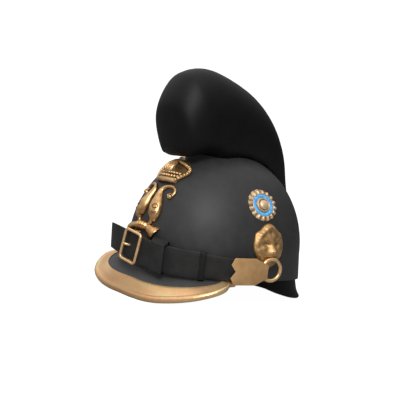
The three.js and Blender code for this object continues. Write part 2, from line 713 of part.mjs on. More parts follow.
// An end plate's own axes: along it to the rear, in towards the skull, and up. A tab at its end
// is folded in round the ring.
const plateLength = PLATE_FRONT.distanceTo(PLATE_REAR);
const plateAngle = Math.atan2(PLATE_REAR.y - PLATE_FRONT.y, PLATE_REAR.x - PLATE_FRONT.x);
const TAB = { half: 4.2, back: 14, play: 0.9 };
const ringAlong = plateLength - PLATE - GAP - RING_WIRE - TAB.play + RING_MEAN;
const ringIn = PLATE + GAP + RING_WIRE;
const plateFrame = new THREE.Matrix4()
  .makeRotationZ(plateAngle)
  .setPosition(PLATE_FRONT.x, PLATE_FRONT.y, PLATE_HEIGHT);

function endPlate() {
  const outline = new THREE.Shape();
  outline.moveTo(5, -16.8);
  outline.lineTo(36, -16);
  outline.lineTo(43, -10);
  outline.lineTo(plateLength - 1.5, -8.6);
  outline.lineTo(plateLength - 1.5, 8.6);
  outline.lineTo(41, 10.4);
  outline.lineTo(31, 16.6);
  outline.lineTo(6, 16.6);
  outline.lineTo(0, 8);
  outline.lineTo(5.6, -0.4);
  outline.lineTo(0, -8.4);
  const leaf = new THREE.ExtrudeGeometry(outline, { depth: PLATE, bevelEnabled: false });
  leaf.rotateX(Math.PI / 2).translate(0, PLATE, 0);
  const room = 2 * (RING_WIRE + GAP);
  const fullDepth = PLATE + room + PLATE;
  const bend = plateLength - fullDepth / 2;
  const hook = new THREE.Shape();
  hook.moveTo(bend - TAB.back / 2, 0);
  hook.lineTo(bend, 0);
  hook.absarc(bend, fullDepth / 2, fullDepth / 2, -Math.PI / 2, Math.PI / 2, false);
  hook.lineTo(bend - TAB.back, fullDepth);
  hook.lineTo(bend - TAB.back, fullDepth - PLATE);
  hook.lineTo(bend, fullDepth - PLATE);
  hook.absarc(bend, fullDepth / 2, room / 2, Math.PI / 2, -Math.PI / 2, true);
  hook.lineTo(bend - TAB.back / 2, PLATE);
  const fold = new THREE.ExtrudeGeometry(hook, { depth: 2 * TAB.half, bevelEnabled: false, curveSegments: 6 });
  fold.translate(0, 0, -TAB.half);
  return fromSolid(join([leaf, fold])).applyMatrix4(plateFrame);
}

function ringAt(wire) {
  const ring = new THREE.TorusGeometry(RING_MEAN, wire, 6, 16);
  ring.rotateX(Math.PI / 2);
  ring.translate(ringAlong, ringIn, 0);
  return fromSolid(solid(ring.applyMatrix4(plateFrame)));
}

// Raised forms of the lion mask: a place across and up, half-sizes and a height.
const lionForms = [
  { y: 0, z: -10, wide: 9, tall: 7, high: 6.6 }, // muzzle
  { y: 0, z: -2.5, wide: 4.4, tall: 9, high: 3.2 }, // nose
  { y: 0, z: 9, wide: 12, tall: 7, high: 3.6 }, // forehead
  { y: 0, z: 19, wide: 7, tall: 5, high: 2.4 }, // tuft
  { y: -8.6, z: 4.2, wide: 6, tall: 2.8, high: 2.4 }, // brows
  { y: 8.6, z: 4.2, wide: 6, tall: 2.8, high: 2.4 },
  { y: -8, z: -1, wide: 3.6, tall: 2.4, high: -2.4 }, // eyes
  { y: 8, z: -1, wide: 3.6, tall: 2.4, high: -2.4 },
  { y: -13, z: -8, wide: 5.5, tall: 6.5, high: 2.4 }, // cheeks
  { y: 13, z: -8, wide: 5.5, tall: 6.5, high: 2.4 },
  { y: 0, z: -21, wide: 6, tall: 6, high: 2 }, // beard
];
const LION = { half: 22.6, top: 19.6, bottom: 29, edge: 2.2, locks: 9, tuft: 0.2, ear: 0.08 };

// A tuft on top, an ear on each side and a pointed beard.
function lionOutline(angle) {
  const [c, s] = [Math.cos(angle), Math.sin(angle)];
  const narrow = s < 0 ? 1 - 0.42 * s ** 4 : 1;
  const lock = 1 + 0.016 * Math.cos(LION.locks * angle + Math.PI / 2);
  const ear = LION.ear * Math.exp(-(((Math.abs(c) - 0.79) / 0.16) ** 2)) * (s > 0 ? 1 : 0);
  const tuft = s > 0 ? LION.tuft * Math.exp(-((c / 0.42) ** 2)) : 0;
  return { y: LION.half * c * narrow * lock * (1 + ear), z: (s < 0 ? LION.bottom : LION.top) * s * lock * (1 + ear + tuft) };
}

function lionFace(y, z, rim) {
  const raised = lionForms.reduce((sum, form) => {
    const far = ((y - form.y) / form.wide) ** 2 + ((z - form.z) / form.tall) ** 2;
    return sum + form.high * Math.exp(-far);
  }, 0);
  const swell = 2.4 * (1 - rim ** 3);
  const wall = skullFace(y + LION_Y, z + LION_Z);
  return vec(wall + LION.edge + swell + raised, y + LION_Y, z + LION_Z);
}

// How far out the skull's side lies at a place along and a height.
function skullFace(y, z) {
  const up = Math.max(z - EQUATOR, 0) / RISE;
  return HALF_WIDTH * Math.sqrt(1 - (y / HALF_LENGTH) ** 2 - up ** 2);
}

function lion() {
  const shares = [1, 0.86, 0.7, 0.54, 0.38, 0.2];
  const ringOf = (share, place) => range(28).map((i) => {
    const { y, z } = lionOutline((i / 28) * 2 * Math.PI);
    return place(y * share, z * share, share);
  });
  const back = ringOf(1, (y, z) => vec(HALF_WIDTH * 0.85, y + LION_Y, z + LION_Z));
  const rings = [back, ...shares.map((share) => ringOf(share, lionFace)), [lionFace(0, 0, 0)]];
  return fromSolid(solid(loft(rings)).subtract(skullBlock).subtract(solid(ringAt(RING_WIRE + 0.4))));
}

// The cockade lies flat against the skull's side, in layers about its own axis.
const cockade = new THREE.Group();
const cockadeSeat = skullAt(COCKADE_TURN, COCKADE_HEIGHT, 0);
cockade.position.copy(cockadeSeat);
cockade.quaternion.setFromUnitVectors(vec(0, 0, 1), skullNormal(cockadeSeat));
cockade.updateMatrix();
const FLUTES = 20;
const ENAMEL = { outer: 13.6, inner: 8.9, high: 4.4 };
const STUD = { radius: 8.6, high: 8 };

function turned(profile, sides) {
  const geometry = new THREE.LatheGeometry(profile.map(([r, z]) => new THREE.Vector2(r, z)), sides);
  return geometry.rotateX(Math.PI / 2);
}

// The rim is fluted, and its back is cut to the skull.
function cockadeRim() {
  const rows = [[13.9, -8], [COCKADE_RADIUS, -8], [COCKADE_RADIUS, 2.2], [18.6, 3.9], [15.2, 4.6], [13.9, 3.9]];
  const rings = range(FLUTES * 2).map((i) => {
    const angle = (i / (FLUTES * 2)) * 2 * Math.PI;
    const wave = i % 2 ? -1 : 0;
    return rows.map(([radius, high]) => {
      const flute = radius > 15 ? wave : 0;
      const reach = radius + flute * 0.6;
      return vec(reach * Math.cos(angle), reach * Math.sin(angle), high + (high > 0 ? flute * 0.9 : 0));
    });
  });
  return seated(loft(rings, true));
}

function seated(geometry) {
  const body = solid(geometry.applyMatrix4(cockade.matrix)).subtract(skullBlock);
  return fromSolid(body).applyMatrix4(cockade.matrix.clone().invert());
}

function cockadeEnamel() {
  const { outer, inner, high } = ENAMEL;
  return seated(turned([[inner, -8], [outer, -8], [outer, high - 0.4], [(outer + inner) / 2, high],
    [inner, high - 0.4], [inner, -8]], 18));
}

function cockadeStud() {
  const { radius, high } = STUD;
  return seated(turned([[0, -8], [radius, -8], [radius, 4.6], [radius - 1.2, 5.6], [radius - 2.4, 5.2],
    [radius - 3, 6], [3.4, 7.4], [0, high]], 16));
}

add('crown_shell', crownShell(), leather);
add('front_peak', frontPeak(), leather);
add('peak_binding', peakBinding(), brass);
add('neck_guard', neckGuard(), leather);
add('crest', crest(), wool);
add('crown_badge', crownBadge(), brass);
add('scroll_badge', scrollBadge(), brass);
add('chin_strap_near', nearStrap(), strapLeather);
add('chin_strap_far', farStrap(), strapLeather);
add('strap_keeper_1', wideKeeper(), strapLeather);
add('strap_keeper_2', keeper(82.5, 4.8), strapLeather);
helmet.add(buckleFrame);
add('buckle_frame', buckleBody(), brass, buckleFrame);
add('buckle_prong', prong(), brass, buckleFrame);
for (const [side, turn] of [['left', (g) => g], ['right', mirrored]]) {
  add(`end_plate_${side}`, turn(endPlate()), brass);
  add(`ring_${side}`, turn(ringAt(RING_WIRE)), brass);
  add(`lion_${side}`, turn(lion()), brass);
}
helmet.add(cockade);
add('cockade_rim', cockadeRim(), brass, cockade);
add('cockade_enamel', cockadeEnamel(), enamel, cockade);
add('cockade_stud', cockadeStud(), brass, cockade);

export default helmet;
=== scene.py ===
import math

import bmesh
import bpy
from mathutils import Matrix, Vector, noise


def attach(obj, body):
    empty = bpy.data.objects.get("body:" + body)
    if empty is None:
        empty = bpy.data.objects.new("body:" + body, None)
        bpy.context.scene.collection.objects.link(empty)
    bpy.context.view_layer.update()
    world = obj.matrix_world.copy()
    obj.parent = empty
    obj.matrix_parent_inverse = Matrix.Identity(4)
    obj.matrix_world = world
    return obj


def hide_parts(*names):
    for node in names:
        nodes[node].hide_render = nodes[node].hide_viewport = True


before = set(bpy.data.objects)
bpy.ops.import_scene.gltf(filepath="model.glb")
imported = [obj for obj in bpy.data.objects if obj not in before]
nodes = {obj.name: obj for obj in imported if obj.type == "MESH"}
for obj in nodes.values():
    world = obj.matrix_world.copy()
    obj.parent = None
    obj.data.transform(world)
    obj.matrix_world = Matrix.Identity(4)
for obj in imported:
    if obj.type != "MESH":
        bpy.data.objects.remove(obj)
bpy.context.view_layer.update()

centreY = 7.05  # from the middle of the whole helmet to the axis of the skull, mm
barEnd = 0.8  # how far a bar's rounded ends reach, as a share of its radius
print("frame loaded:", len(nodes), "solids")


# tables and curves

def alongRows(rows, t):
    place = t * (len(rows) - 1)
    i = min(max(math.floor(place), 0), len(rows) - 2)
    f = place - i
    last = len(rows) - 1
    a, b, c, d = (rows[min(max(k, 0), last)] for k in (i - 1, i, i + 1, i + 2))
    out = []
    for p, q, r, s in zip(a, b, c, d):
        square = 2 * p - 5 * q + 4 * r - s
        cube = 3 * (q - r) + s - p
        out.append(0.5 * (2 * q + (r - p) * f + square * f * f + cube * f ** 3))
    return out


def spread(count, start, end):
    return [start + (end - start) * i / count for i in range(count + 1)]


def bothSides(rows, turned):
    flipped = [[-v if k in turned else v for k, v in enumerate(row)] for row in rows[1:]]
    return flipped[::-1] + [list(row) for row in rows]


def smoothStep(v, low, high):
    f = min(max((v - low) / (high - low), 0.0), 1.0)
    return f * f * (3 - 2 * f)


def turnsOf(count):
    return [i / count * 2 * math.pi for i in range(count)]


def cosSin(degrees):
    return math.cos(math.radians(degrees)), math.sin(math.radians(degrees))


def arcPoints(middle, radius, start, end, count):
    pairs = [cosSin(degrees) for degrees in spread(count, start, end)]
    return [(middle[0] + radius * c, middle[1] + radius * s) for c, s in pairs]


def squared(v, square):
    return math.copysign(abs(v) ** (2 / square), v)


def sideAndOut(heading, out):
    # both are square to the heading
    out = (out - heading * out.dot(heading)).normalized()
    return heading.cross(out), out


# meshes

def newMesh(*layers):
    bm = bmesh.new()
    for name in layers:
        bm.verts.layers.float.new(name)
    return bm


def loft(bm, rings, looped=False, capped=True, tags=None, layer=None):
    tag = bm.verts.layers.float.get(layer) if layer else None
    count = len(rings[0])
    ring = [bm.verts.new(point) for point in rings[0]]
    made = [ring]
    edges = [bm.edges.new((ring[i], ring[(i + 1) % count])) for i in range(count)]
    firstEdges = edges
    for points in rings[1:]:
        grown = bmesh.ops.extrude_edge_only(bm, edges=edges)["geom"]
        fresh = {v for v in grown if isinstance(v, bmesh.types.BMVert)}
        mates = []
        for old in ring:
            mates.append(next(e.other_vert(old) for e in old.link_edges if e.other_vert(old) in fresh))
        for vert, point in zip(mates, points):
            vert.co = point
        ring = mates
        made.append(ring)
        edges = [bm.edges.get((ring[i], ring[(i + 1) % count])) for i in range(count)]
    if tag:
        for ringVerts in made:
            for vert, value in zip(ringVerts, tags):
                vert[tag] = value
    if looped:
        bmesh.ops.bridge_loops(bm, edges=firstEdges + edges)
    elif capped:
        for ends in (firstEdges, edges):
            bmesh.ops.contextual_create(bm, geom=ends)
    return [vert for ringVerts in made for vert in ringVerts]


def outward(bm):
    bmesh.ops.recalc_face_normals(bm, faces=bm.faces)


def closed(bm, reach=1e-4):
    bmesh.ops.remove_doubles(bm, verts=bm.verts, dist=reach)
    outward(bm)


def bar(bm, rows, steps, sides, across, square=2.0):
    # rows: x, y, z, radius and, where it is flattened, its rise; both ends are rounded
    path = [alongRows(rows, t) for t in spread(steps, 0, 1)]
    turns = turnsOf(sides)
    rings = []
    for i, (x, y, z, radius, *rise) in enumerate(path):
        point = Vector((x, y, z))
        ahead, behind = path[min(i + 1, steps)], path[max(i - 1, 0)]
        heading = (Vector(ahead[:3]) - Vector(behind[:3])).normalized()
        side, out = sideAndOut(heading, across(point))
        flat = rise[0] if rise else 1.0
        angles = [-90, -60, -30] * (i == 0) + [0] + [30, 60, 90] * (i == steps)
        for angle in angles:
            c, s = cosSin(angle)
            middle = point + heading * radius * s * barEnd
            size = max(radius * c, 0.01)
            rings.append([middle + side * size * squared(math.cos(a), square)
                          + out * size * flat * squared(math.sin(a), square) for a in turns])
    return loft(bm, rings)


def bead(bm, place, radius, detail=2):
    made = bmesh.ops.create_icosphere(bm, subdivisions=detail, radius=radius)
    bmesh.ops.translate(bm, verts=made["verts"], vec=place)


def turnedProfile(bm, profile, steps, matrix):
    verts = [bm.verts.new((radius, 0, high)) for radius, high in profile]
    edges = [bm.edges.new(pair) for pair in zip(verts, verts[1:])]
    bmesh.ops.spin(bm, geom=verts + edges, cent=(0, 0, 0), axis=(0, 0, 1), angle=2 * math.pi, steps=steps,
                   use_merge=True)
    for vert in {v for f in bm.faces for v in f.verts}:
        vert.co = matrix @ vert.co


# Writes each vertex's concavity into the shade attribute, which paints the brass darker there: painted
# shade.
def markHollows(bm, rounds, gain):
    layer = bm.verts.layers.float.get("hollow")
    bm.normal_update()
    bm.verts.index_update()
    values = []
    for vert in bm.verts:
        total = 0.0
        for edge in vert.link_edges:
            step = edge.other_vert(vert).co - vert.co
            if step.length > 1e-9:
                total += vert.normal.dot(step) / step.length_squared
        values.append(total / max(len(vert.link_edges), 1))
    links = [[edge.other_vert(vert).index for edge in vert.link_edges] for vert in bm.verts]
    for _ in range(rounds):
        values = [0.5 * v + 0.5 * sum(values[k] for k in near) / max(len(near), 1)
                  for v, near in zip(values, links)]
    for vert, value in zip(bm.verts, values):
        vert[layer] = min(max(value * gain, 0.0), 1.0)


def finishPiece(name, bm, material, replaced, crease=50.0):
    bmesh.ops.translate(bm, verts=bm.verts, vec=(0, centreY, 0))
    bmesh.ops.scale(bm, verts=bm.verts, vec=(0.001, 0.001, 0.001))
    mesh = bpy.data.meshes.new(name)
    bm.to_mesh(mesh)
    bm.free()
    for face in mesh.polygons:
        face.use_smooth = True
    mesh.set_sharp_from_angle(angle=math.radians(crease))
    piece = bpy.data.objects.new(name, mesh)
    bpy.context.scene.collection.objects.link(piece)
    piece.data.materials.append(material)
    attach(piece, "root")
    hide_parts(*replaced)


# shaders

class Flow:
    def __init__(self, finish, socket):
        self.finish = finish
        self.socket = socket

    def math(self, operation, first, second):
        return self.finish.node("ShaderNodeMath", {"operation": operation}, {0: first, 1: second})

    def __add__(self, other):
        return self.math("ADD", self, other)

    def __radd__(self, other):
        return self.math("ADD", other, self)

    def __rsub__(self, other):
        return self.math("SUBTRACT", other, self)

    def __mul__(self, other):
        return self.math("MULTIPLY", self, other)


def setStops(ramp, stops):
    while len(ramp.elements) < len(stops):
        ramp.elements.new(1.0)
    for element, (place, colour) in zip(ramp.elements, stops):
        element.position = place
        element.color = (*colour, 1.0)


class Finish:
    def __init__(self, name, **fixed):
        self.material = bpy.data.materials.new(name)
        self.material.use_nodes = True
        self.tree = self.material.node_tree
        self.shader = self.tree.nodes["Principled BSDF"]
        for socket, value in fixed.items():
            self.shader.inputs[socket.replace("_", " ")].default_value = value

    def node(self, kind, settings=None, sockets=None, output=0):
        node = self.tree.nodes.new(kind)
        for key, value in (settings or {}).items():
            if key == "stops":
                setStops(node.color_ramp, value)
            else:
                setattr(node, key, value)
        for key, value in (sockets or {}).items():
            self.feed(node.inputs[key], value)
        return Flow(self, node.outputs[output])

    def feed(self, socket, value):
        if isinstance(value, Flow):
            self.tree.links.new(value.socket, socket)
        else:
            socket.default_value = value

    def set(self, **inputs):
        for name, value in inputs.items():
            self.feed(self.shader.inputs[name.replace("_", " ")], value)

    def place(self):
        return self.node("ShaderNodeTexCoord", output="Object")

    def attribute(self, name, output="Fac"):
        return self.node("ShaderNodeAttribute", {"attribute_name": name}, output=output)

    def stretched(self, vector, scale):
        return self.node("ShaderNodeMapping", {}, {"Vector": vector, "Scale": scale})

    def noise(self, vector, scale, detail=3.0, roughness=0.5):
        return self.node("ShaderNodeTexNoise", {}, {
            "Vector": vector, "Scale": scale, "Detail": detail, "Roughness": roughness})

    def ramp(self, factor, *stops):
        return self.node("ShaderNodeValToRGB", {"stops": stops}, {"Fac": factor})

    def grey(self, factor, *stops):
        return self.ramp(factor, *[(place, (v, v, v)) for place, v in stops])

    def blend(self, factor, first, second):
        return self.node("ShaderNodeMix", {"data_type": "RGBA"},
                         {"Factor": factor, "A": first, "B": second}, "Result")

    def bump(self, height, strength, distance):
        return self.node("ShaderNodeBump", {}, {
            "Height": height, "Strength": strength, "Distance": distance})


def tone(red, green, blue):
    return tuple((v / 255 / 12.92 if v <= 10.3 else ((v / 255 + 0.055) / 1.055) ** 2.4)
                 for v in (red, green, blue))


def tint(red, green, blue):
    return (*tone(red, green, blue), 1.0)


def makeLeather(name, gloss, deep, middle, worn):
    finish = Finish(name, Specular_IOR_Level=gloss)
    place = finish.place()
    clouds = finish.noise(place, 22.0, 4.0, 0.6)
    patches = finish.noise(place, 90.0, 3.0, 0.6)
    grain = finish.noise(place, 900.0, 3.0, 0.6)
    mix = clouds * 0.65 + patches * 0.35
    finish.set(Base_Color=finish.ramp(mix, (0.3, tone(*deep)), (0.5, tone(*middle)), (0.7, tone(*worn))),
               Roughness=0.46 + patches * 0.12,
               Normal=finish.bump(grain * 0.6 + patches * 0.5, 0.1, 0.0006))
    return finish.material


def makeStrapLeather():
    finish = Finish("strapLeather", Specular_IOR_Level=0.3)
    place = finish.place()
    edge = finish.attribute("cut")
    grain = finish.noise(place, 700.0, 3.0, 0.6)
    wear = finish.noise(place, 60.0, 4.0, 0.65)
    face = finish.ramp(wear, (0.35, tone(27, 27, 27)), (0.65, tone(38, 38, 38)))
    brown = finish.ramp(wear, (0.35, tone(52, 36, 28)), (0.65, tone(84, 56, 42)))
    # the dark attribute paints the keepers near-black: painted shade inside their loops, and on the second
    # keeper's face
    dark = finish.attribute("dark")
    finish.set(Base_Color=finish.blend(dark, finish.blend(edge, face, brown), tint(14, 14, 14)),
               Roughness=0.5 + wear * 0.2,
               Normal=finish.bump(grain + wear * 0.6, 0.15, 0.0005))
    return finish.material


def makeWool():
    finish = Finish("wool", Specular_IOR_Level=0.24)
    place = finish.place()
    pile = finish.noise(finish.stretched(place, (1.0, 0.45, 0.45)), 1400.0, 3.0, 0.6)
    tufts = finish.noise(place, 60.0, 3.0, 0.55)
    finish.set(Base_Color=finish.ramp(tufts, (0.3, tone(4, 4, 4)), (0.7, tone(9, 9, 9))),
               Roughness=0.46 + pile * 0.12,
               Normal=finish.bump(pile * 0.8 + tufts * 0.3, 0.14, 0.0007))
    return finish.material


def makeCastBrass(name, metallic, rough, rugged, worn, bright):
    finish = Finish(name, Metallic=metallic)
    place = finish.place()
    # Painted shade: the brass turns dark brown where nearby parts close it in (ambient occlusion) and where
    # the mesh's shade attribute marks it; in the recesses this also stands for patina.
    shade = finish.node("ShaderNodeAmbientOcclusion", {"samples": 8, "only_local": True},
                        {"Distance": 0.003}, "AO")
    stain = finish.noise(place, 150.0, 4.0, 0.6)
    pits = finish.noise(place, 900.0, 2.0, 0.6)
    shadeMark = finish.attribute("hollow")
    unshadedBrass = finish.ramp(stain, (0.35, tone(*worn)), (0.65, tone(*bright)))
    dark = finish.ramp(stain, (0.35, tone(38, 26, 14)), (0.65, tone(64, 44, 24)))
    opened = finish.grey(shade, (0.35, 0.0), (0.85, 1.0)) * (1.0 - shadeMark)
    finish.set(Base_Color=finish.blend(opened, dark, unshadedBrass),
               Roughness=rough + stain * 0.16,
               Normal=finish.bump(pits + stain, rugged, 0.0004))
    return finish.material


def makeSheetBrass():
    finish = Finish("brassSheet", Metallic=0.5)
    place = finish.place()
    stain = finish.noise(place, 70.0, 4.0, 0.65)
    scratch = finish.noise(finish.stretched(place, (30.0, 1.0, 1.0)), 260.0, 2.0, 0.5)
    finish.set(Base_Color=finish.ramp(stain, (0.3, tone(198, 154, 102)), (0.7, tone(222, 178, 126))),
               Roughness=0.44 + stain * 0.12,
               Normal=finish.bump(scratch, 0.05, 0.0003))
    return finish.material


def makeBindingBrass():
    finish = Finish("brassBinding", Metallic=0.7)
    run = finish.attribute("run", "Vector")
    # the binding is browner at the middle of the front
    tarnish = finish.attribute("tarnish")
    streak = finish.noise(finish.stretched(run, (7.0, 0.5, 0.5)), 7.0, 4.0, 0.7)
    hue = finish.noise(run, 2.6, 3.0, 0.5)
    scratch = finish.noise(finish.stretched(run, (40.0, 1.0, 1.0)), 12.0, 2.0, 0.5)
    base = finish.ramp(streak, (0.3, tone(226, 180, 126)), (0.5, tone(238, 196, 142)),
                       (0.7, tone(248, 214, 166)))
    warm = finish.ramp(hue, (0.38, tone(240, 178, 128)), (0.5, tone(240, 198, 142)),
                       (0.62, tone(234, 222, 164)))
    finish.set(Base_Color=finish.blend(tarnish, finish.blend(0.5, base, warm), tint(162, 120, 78)),
               Roughness=0.28 + streak * 0.14,
               Normal=finish.bump(scratch + streak * 0.4, 0.03, 0.0003))
    return finish.material


def makeEnamel():
    finish = Finish("enamelBlue", Specular_IOR_Level=0.5, Coat_Weight=0.4, Coat_Roughness=0.08)
    place = finish.place()
    cloud = finish.noise(place, 220.0, 3.0, 0.6)
    specks = finish.noise(place, 900.0, 1.0, 0.5)
    colour = finish.ramp(cloud, (0.35, tone(58, 150, 228)), (0.65, tone(112, 198, 248)))
    light = finish.grey(specks, (0.62, 0.0), (0.72, 1.0)) * 0.5
    finish.set(Base_Color=finish.blend(light, colour, tint(170, 216, 252)),
               Roughness=0.22 + cloud * 0.1)
    return finish.material


leatherBlack = makeLeather("leatherBlack", 0.36, (40, 40, 40), (47, 47, 47), (54, 54, 54))
# the peak's leather is the skull's leather painted lighter: painted light against the strap's shadow on the
# peak
peakLeatherPaintedLight = makeLeather("leatherPeakPaintedLight", 0.36, (56, 56, 56), (64, 64, 64), (72, 72, 72))
guardLeather = makeLeather("leatherGuard", 0.12, (9, 9, 9), (12, 12, 12), (15, 15, 15))
strapLeather = makeStrapLeather()
woolBlack = makeWool()
brassCast = makeCastBrass("brassCast", 1.0, 0.24, 0.1, (194, 148, 96), (236, 194, 140))
brassMask = makeCastBrass("brassMask", 0.85, 0.4, 0.08, (182, 140, 92), (208, 168, 117))
brassPolished = makeCastBrass("brassPolished", 0.65, 0.16, 0.04, (226, 180, 126), (250, 210, 156))
brassStud = makeCastBrass("brassStud", 0.5, 0.3, 0.03, (216, 180, 136), (240, 210, 170))
# the crown's brass is the cast brass made lighter and less metallic: painted light against the crest's
# shade and its dark reflection
brassCrownPaintedLight = makeCastBrass("brassCrownPaintedLight", 0.7, 0.26, 0.08, (202, 156, 102), (244, 204, 148))
brassSheet = makeSheetBrass()
brassBinding = makeBindingBrass()
enamelBlue = makeEnamel()
print("finishes made")


# skull

skull = {"halfWidth": 100.0, "halfLength": 116.3, "equator": 57.0, "lean": 0.11, "rise": 121.0,
         "wall": 3.0, "baseFront": 29.0, "baseDrop": 8.0, "sides": 96, "levels": 26}


def skullAt(turn, height, grow=0.0):
    up = max(height - skull["equator"], 0.0) / (skull["rise"] + grow)
    scale = math.sqrt(max(1 - up * up, 0.0))
    angle = math.radians(turn)
    return Vector(((skull["halfWidth"] + grow) * scale * math.sin(angle),
                   -(skull["halfLength"] + grow) * scale * math.cos(angle)
                   + skull["lean"] * max(skull["equator"] - height, 0.0), height))


def skullNormal(point):
    up = max(point.z - skull["equator"], 0.0)
    return Vector((point.x / skull["halfWidth"] ** 2, point.y / skull["halfLength"] ** 2,
                   up / skull["rise"] ** 2)).normalized()


def skullFront(x, z, grow):
    across = x / (skull["halfWidth"] + grow)
    up = max(z - skull["equator"], 0.0) / (skull["rise"] + grow)
    return Vector((x, -(skull["halfLength"] + grow) * math.sqrt(max(1 - across ** 2 - up ** 2, 0.0)), z))


def skullSide(y, z):
    up = max(z - skull["equator"], 0.0) / skull["rise"]
    return skull["halfWidth"] * math.sqrt(max(1 - (y / skull["halfLength"]) ** 2 - up ** 2, 0.0))


def clearOfSkull(point, grow):
    a, b, c = skull["halfWidth"] + grow, skull["halfLength"] + grow, skull["rise"] + grow
    low = min(point.z - skull["equator"], 0.0)
    shift = -skull["lean"] * low
    flat = Vector((point.x, point.y - shift, max(point.z - skull["equator"], 0.0)))
    size = math.sqrt((flat.x / a) ** 2 + (flat.y / b) ** 2 + (flat.z / c) ** 2)
    if size >= 1 or size < 1e-6:
        return point
    flat /= size
    return Vector((flat.x, flat.y + shift, flat.z + skull["equator"] + low))


def offSkull(bm, grow):
    for vert in bm.verts:
        vert.co = clearOfSkull(vert.co, grow)


def baseHeight(turn):
    back = smoothStep(abs(turn - 360 if turn > 180 else turn), 95, 165)
    return skull["baseFront"] - skull["baseDrop"] * back


def makeSkull():
    turns = [i * 360 / skull["sides"] for i in range(skull["sides"])]
    half = skull["wall"] / 2

    def wall(grow):
        levels = spread(skull["levels"], math.pi / 2, 0)
        rings = [[skullAt(turn, skull["equator"] + (skull["rise"] + grow) * math.sin(a), grow)
                  for turn in turns] for a in levels]
        for share in (0.25, 0.5, 0.75, 0.94):
            drops = [(baseHeight(turn) + half - skull["equator"]) * share for turn in turns]
            rings.append([skullAt(turn, skull["equator"] + drop, grow) for turn, drop in zip(turns, drops)])
        return rings

    rim = []
    for degrees in spread(8, 0, 180):
        c, s = cosSin(degrees)
        rim.append([skullAt(turn, baseHeight(turn) + half * (1 - s), -half + half * c) for turn in turns])
    bm = newMesh()
    loft(bm, wall(0) + rim + wall(-skull["wall"])[::-1], capped=False)
    closed(bm)
    finishPiece("crown_shell_leather", bm, leatherBlack, ["crown_shell"], crease=35)


makeSkull()
print("skull made")


# peak and binding

peak = {"root": 30.0, "band": 18.5, "edgeLift": 0.9, "edgeCover": 1.8, "fold": 6.0, "leather": 2.4,
        "gap": 0.3, "end": 0.004, "leatherEnd": 0.01, "stations": 150, "tarnish": 0.55}
# edge of the peak from the middle to the left: x, y, z, where it is sewn on, how far it is rounded
peakRows = bothSides([
    (0, -139, 0, 0, 5),
    (28, -138.2, 0, 12, 5),
    (56, -134, 2, 24, 5),
    (81, -126, 7, 34, 5),
    (100, -113.5, 12.6, 42, 4.5),
    (112, -100.5, 18.4, 46.5, 3.5),
    (118, -87.5, 23.6, 50, 2.5),
    (115.8, -75.5, 26.6, 53, 1.8),
    (108, -65.8, 26.8, 56, 1.2),
    (100.2, -57, 26.6, 59.5, 0.8),
    (98.2, -47, 26.2, 65, 0.4),
], (0, 3))


def peakEnds(t):
    x, y, z, root, bulge = alongRows(peakRows, t)
    return skullAt(root, peak["root"], -1), Vector((x, y, z + peak["edgeLift"])), bulge


def peakReach(t):
    seam, edge, _ = peakEnds(t)
    return (edge - seam).length


def bandAt(t):
    return min(peak["band"], peakReach(t) - 1)


def peakFace(t, depth):
    seam, edge, bulge = peakEnds(t)
    across = 1 - depth / (edge - seam).length
    point = seam.lerp(edge, across)
    point.z += bulge * math.sin(math.pi * min(across, 1.1))
    return point


def peakPoint(t, depth, lift):
    step = 0.004
    heading = peakFace(t + step, depth) - peakFace(t - step, depth)
    inward = peakFace(t, depth + 0.5) - peakFace(t, depth - 0.5)
    normal = heading.cross(inward).normalized()
    if normal.z < 0:
        normal.negate()
    return peakFace(t, depth) + normal * lift


def makePeak():
    edge = peak["edgeCover"] + peak["gap"] + 0.1
    rings = []
    for t in spread(peak["stations"], peak["leatherEnd"], 1 - peak["leatherEnd"]):
        band = bandAt(t)
        depths = [edge, peak["fold"]] + spread(9, band + 0.5, max(peakReach(t), band + 4))
        top = [peakPoint(t, depth, 0) for depth in depths]
        under = [peakPoint(t, depth, -peak["leather"]) for depth in depths[::-1]]
        rings.append([clearOfSkull(point, 0.1) for point in top + under])
    bm = newMesh()
    loft(bm, rings)
    closed(bm)
    finishPiece("front_peak_leather", bm, peakLeatherPaintedLight, ["front_peak"], crease=35)


def makeBinding():
    band, fold, gap, cover = peak["band"], peak["fold"], peak["gap"], peak["edgeCover"]
    under = -peak["leather"] - gap
    # section: how far in from the edge, how far above the leather; a flat band, then the rolled lip
    section = [(band, gap), (band, 1.0), (band - 0.25, 1.2), (band - 3, 1.24), (12, 1.26), (8.5, 1.28),
               (5.9, 1.3), (5.55, 1.36), (5.3, 1.75), (4.9, 2.25), (4.2, 2.5), (3.2, 2.62), (2.2, 2.5),
               (1.3, 2.05), (0.55, 1.35), (0.05, 0.4), (-0.2, -0.7), (-0.15, -1.8), (0.25, -2.8),
               (0.9, -3.4), (1.9, -3.6), (fold - 0.2, -3.6), (fold, -3.4), (fold, under), (cover, under),
               (cover, gap), (fold, gap)]
    bm = newMesh("tarnish")
    tarnish = bm.verts.layers.float.get("tarnish")
    run = bm.verts.layers.float_vector.new("run")
    rings = []
    places = spread(peak["stations"] + 20, peak["end"], 1 - peak["end"])
    for t in places:
        width = bandAt(t)
        points = [peakPoint(t, min(depth, width), lift) for depth, lift in section]
        for point in points:
            point.z = max(point.z, 0.0)
        rings.append(points)
    for i, vert in enumerate(loft(bm, rings)):
        t, (depth, lift) = places[i // len(section)], section[i % len(section)]
        vert[run] = Vector((t * 4, depth * 0.05, lift * 0.05))
        # browner at the middle of the front
        vert[tarnish] = peak["tarnish"] - peak["tarnish"] * smoothStep(abs(t - 0.5), 0.04, 0.15)
    closed(bm, 1e-5)
    finishPiece("peak_binding_brass", bm, brassBinding, ["peak_binding"])


makePeak()
makeBinding()
print("peak made")


# neck guard

guard = {"tuck": 0.9, "leather": 2.4, "steps": 120}
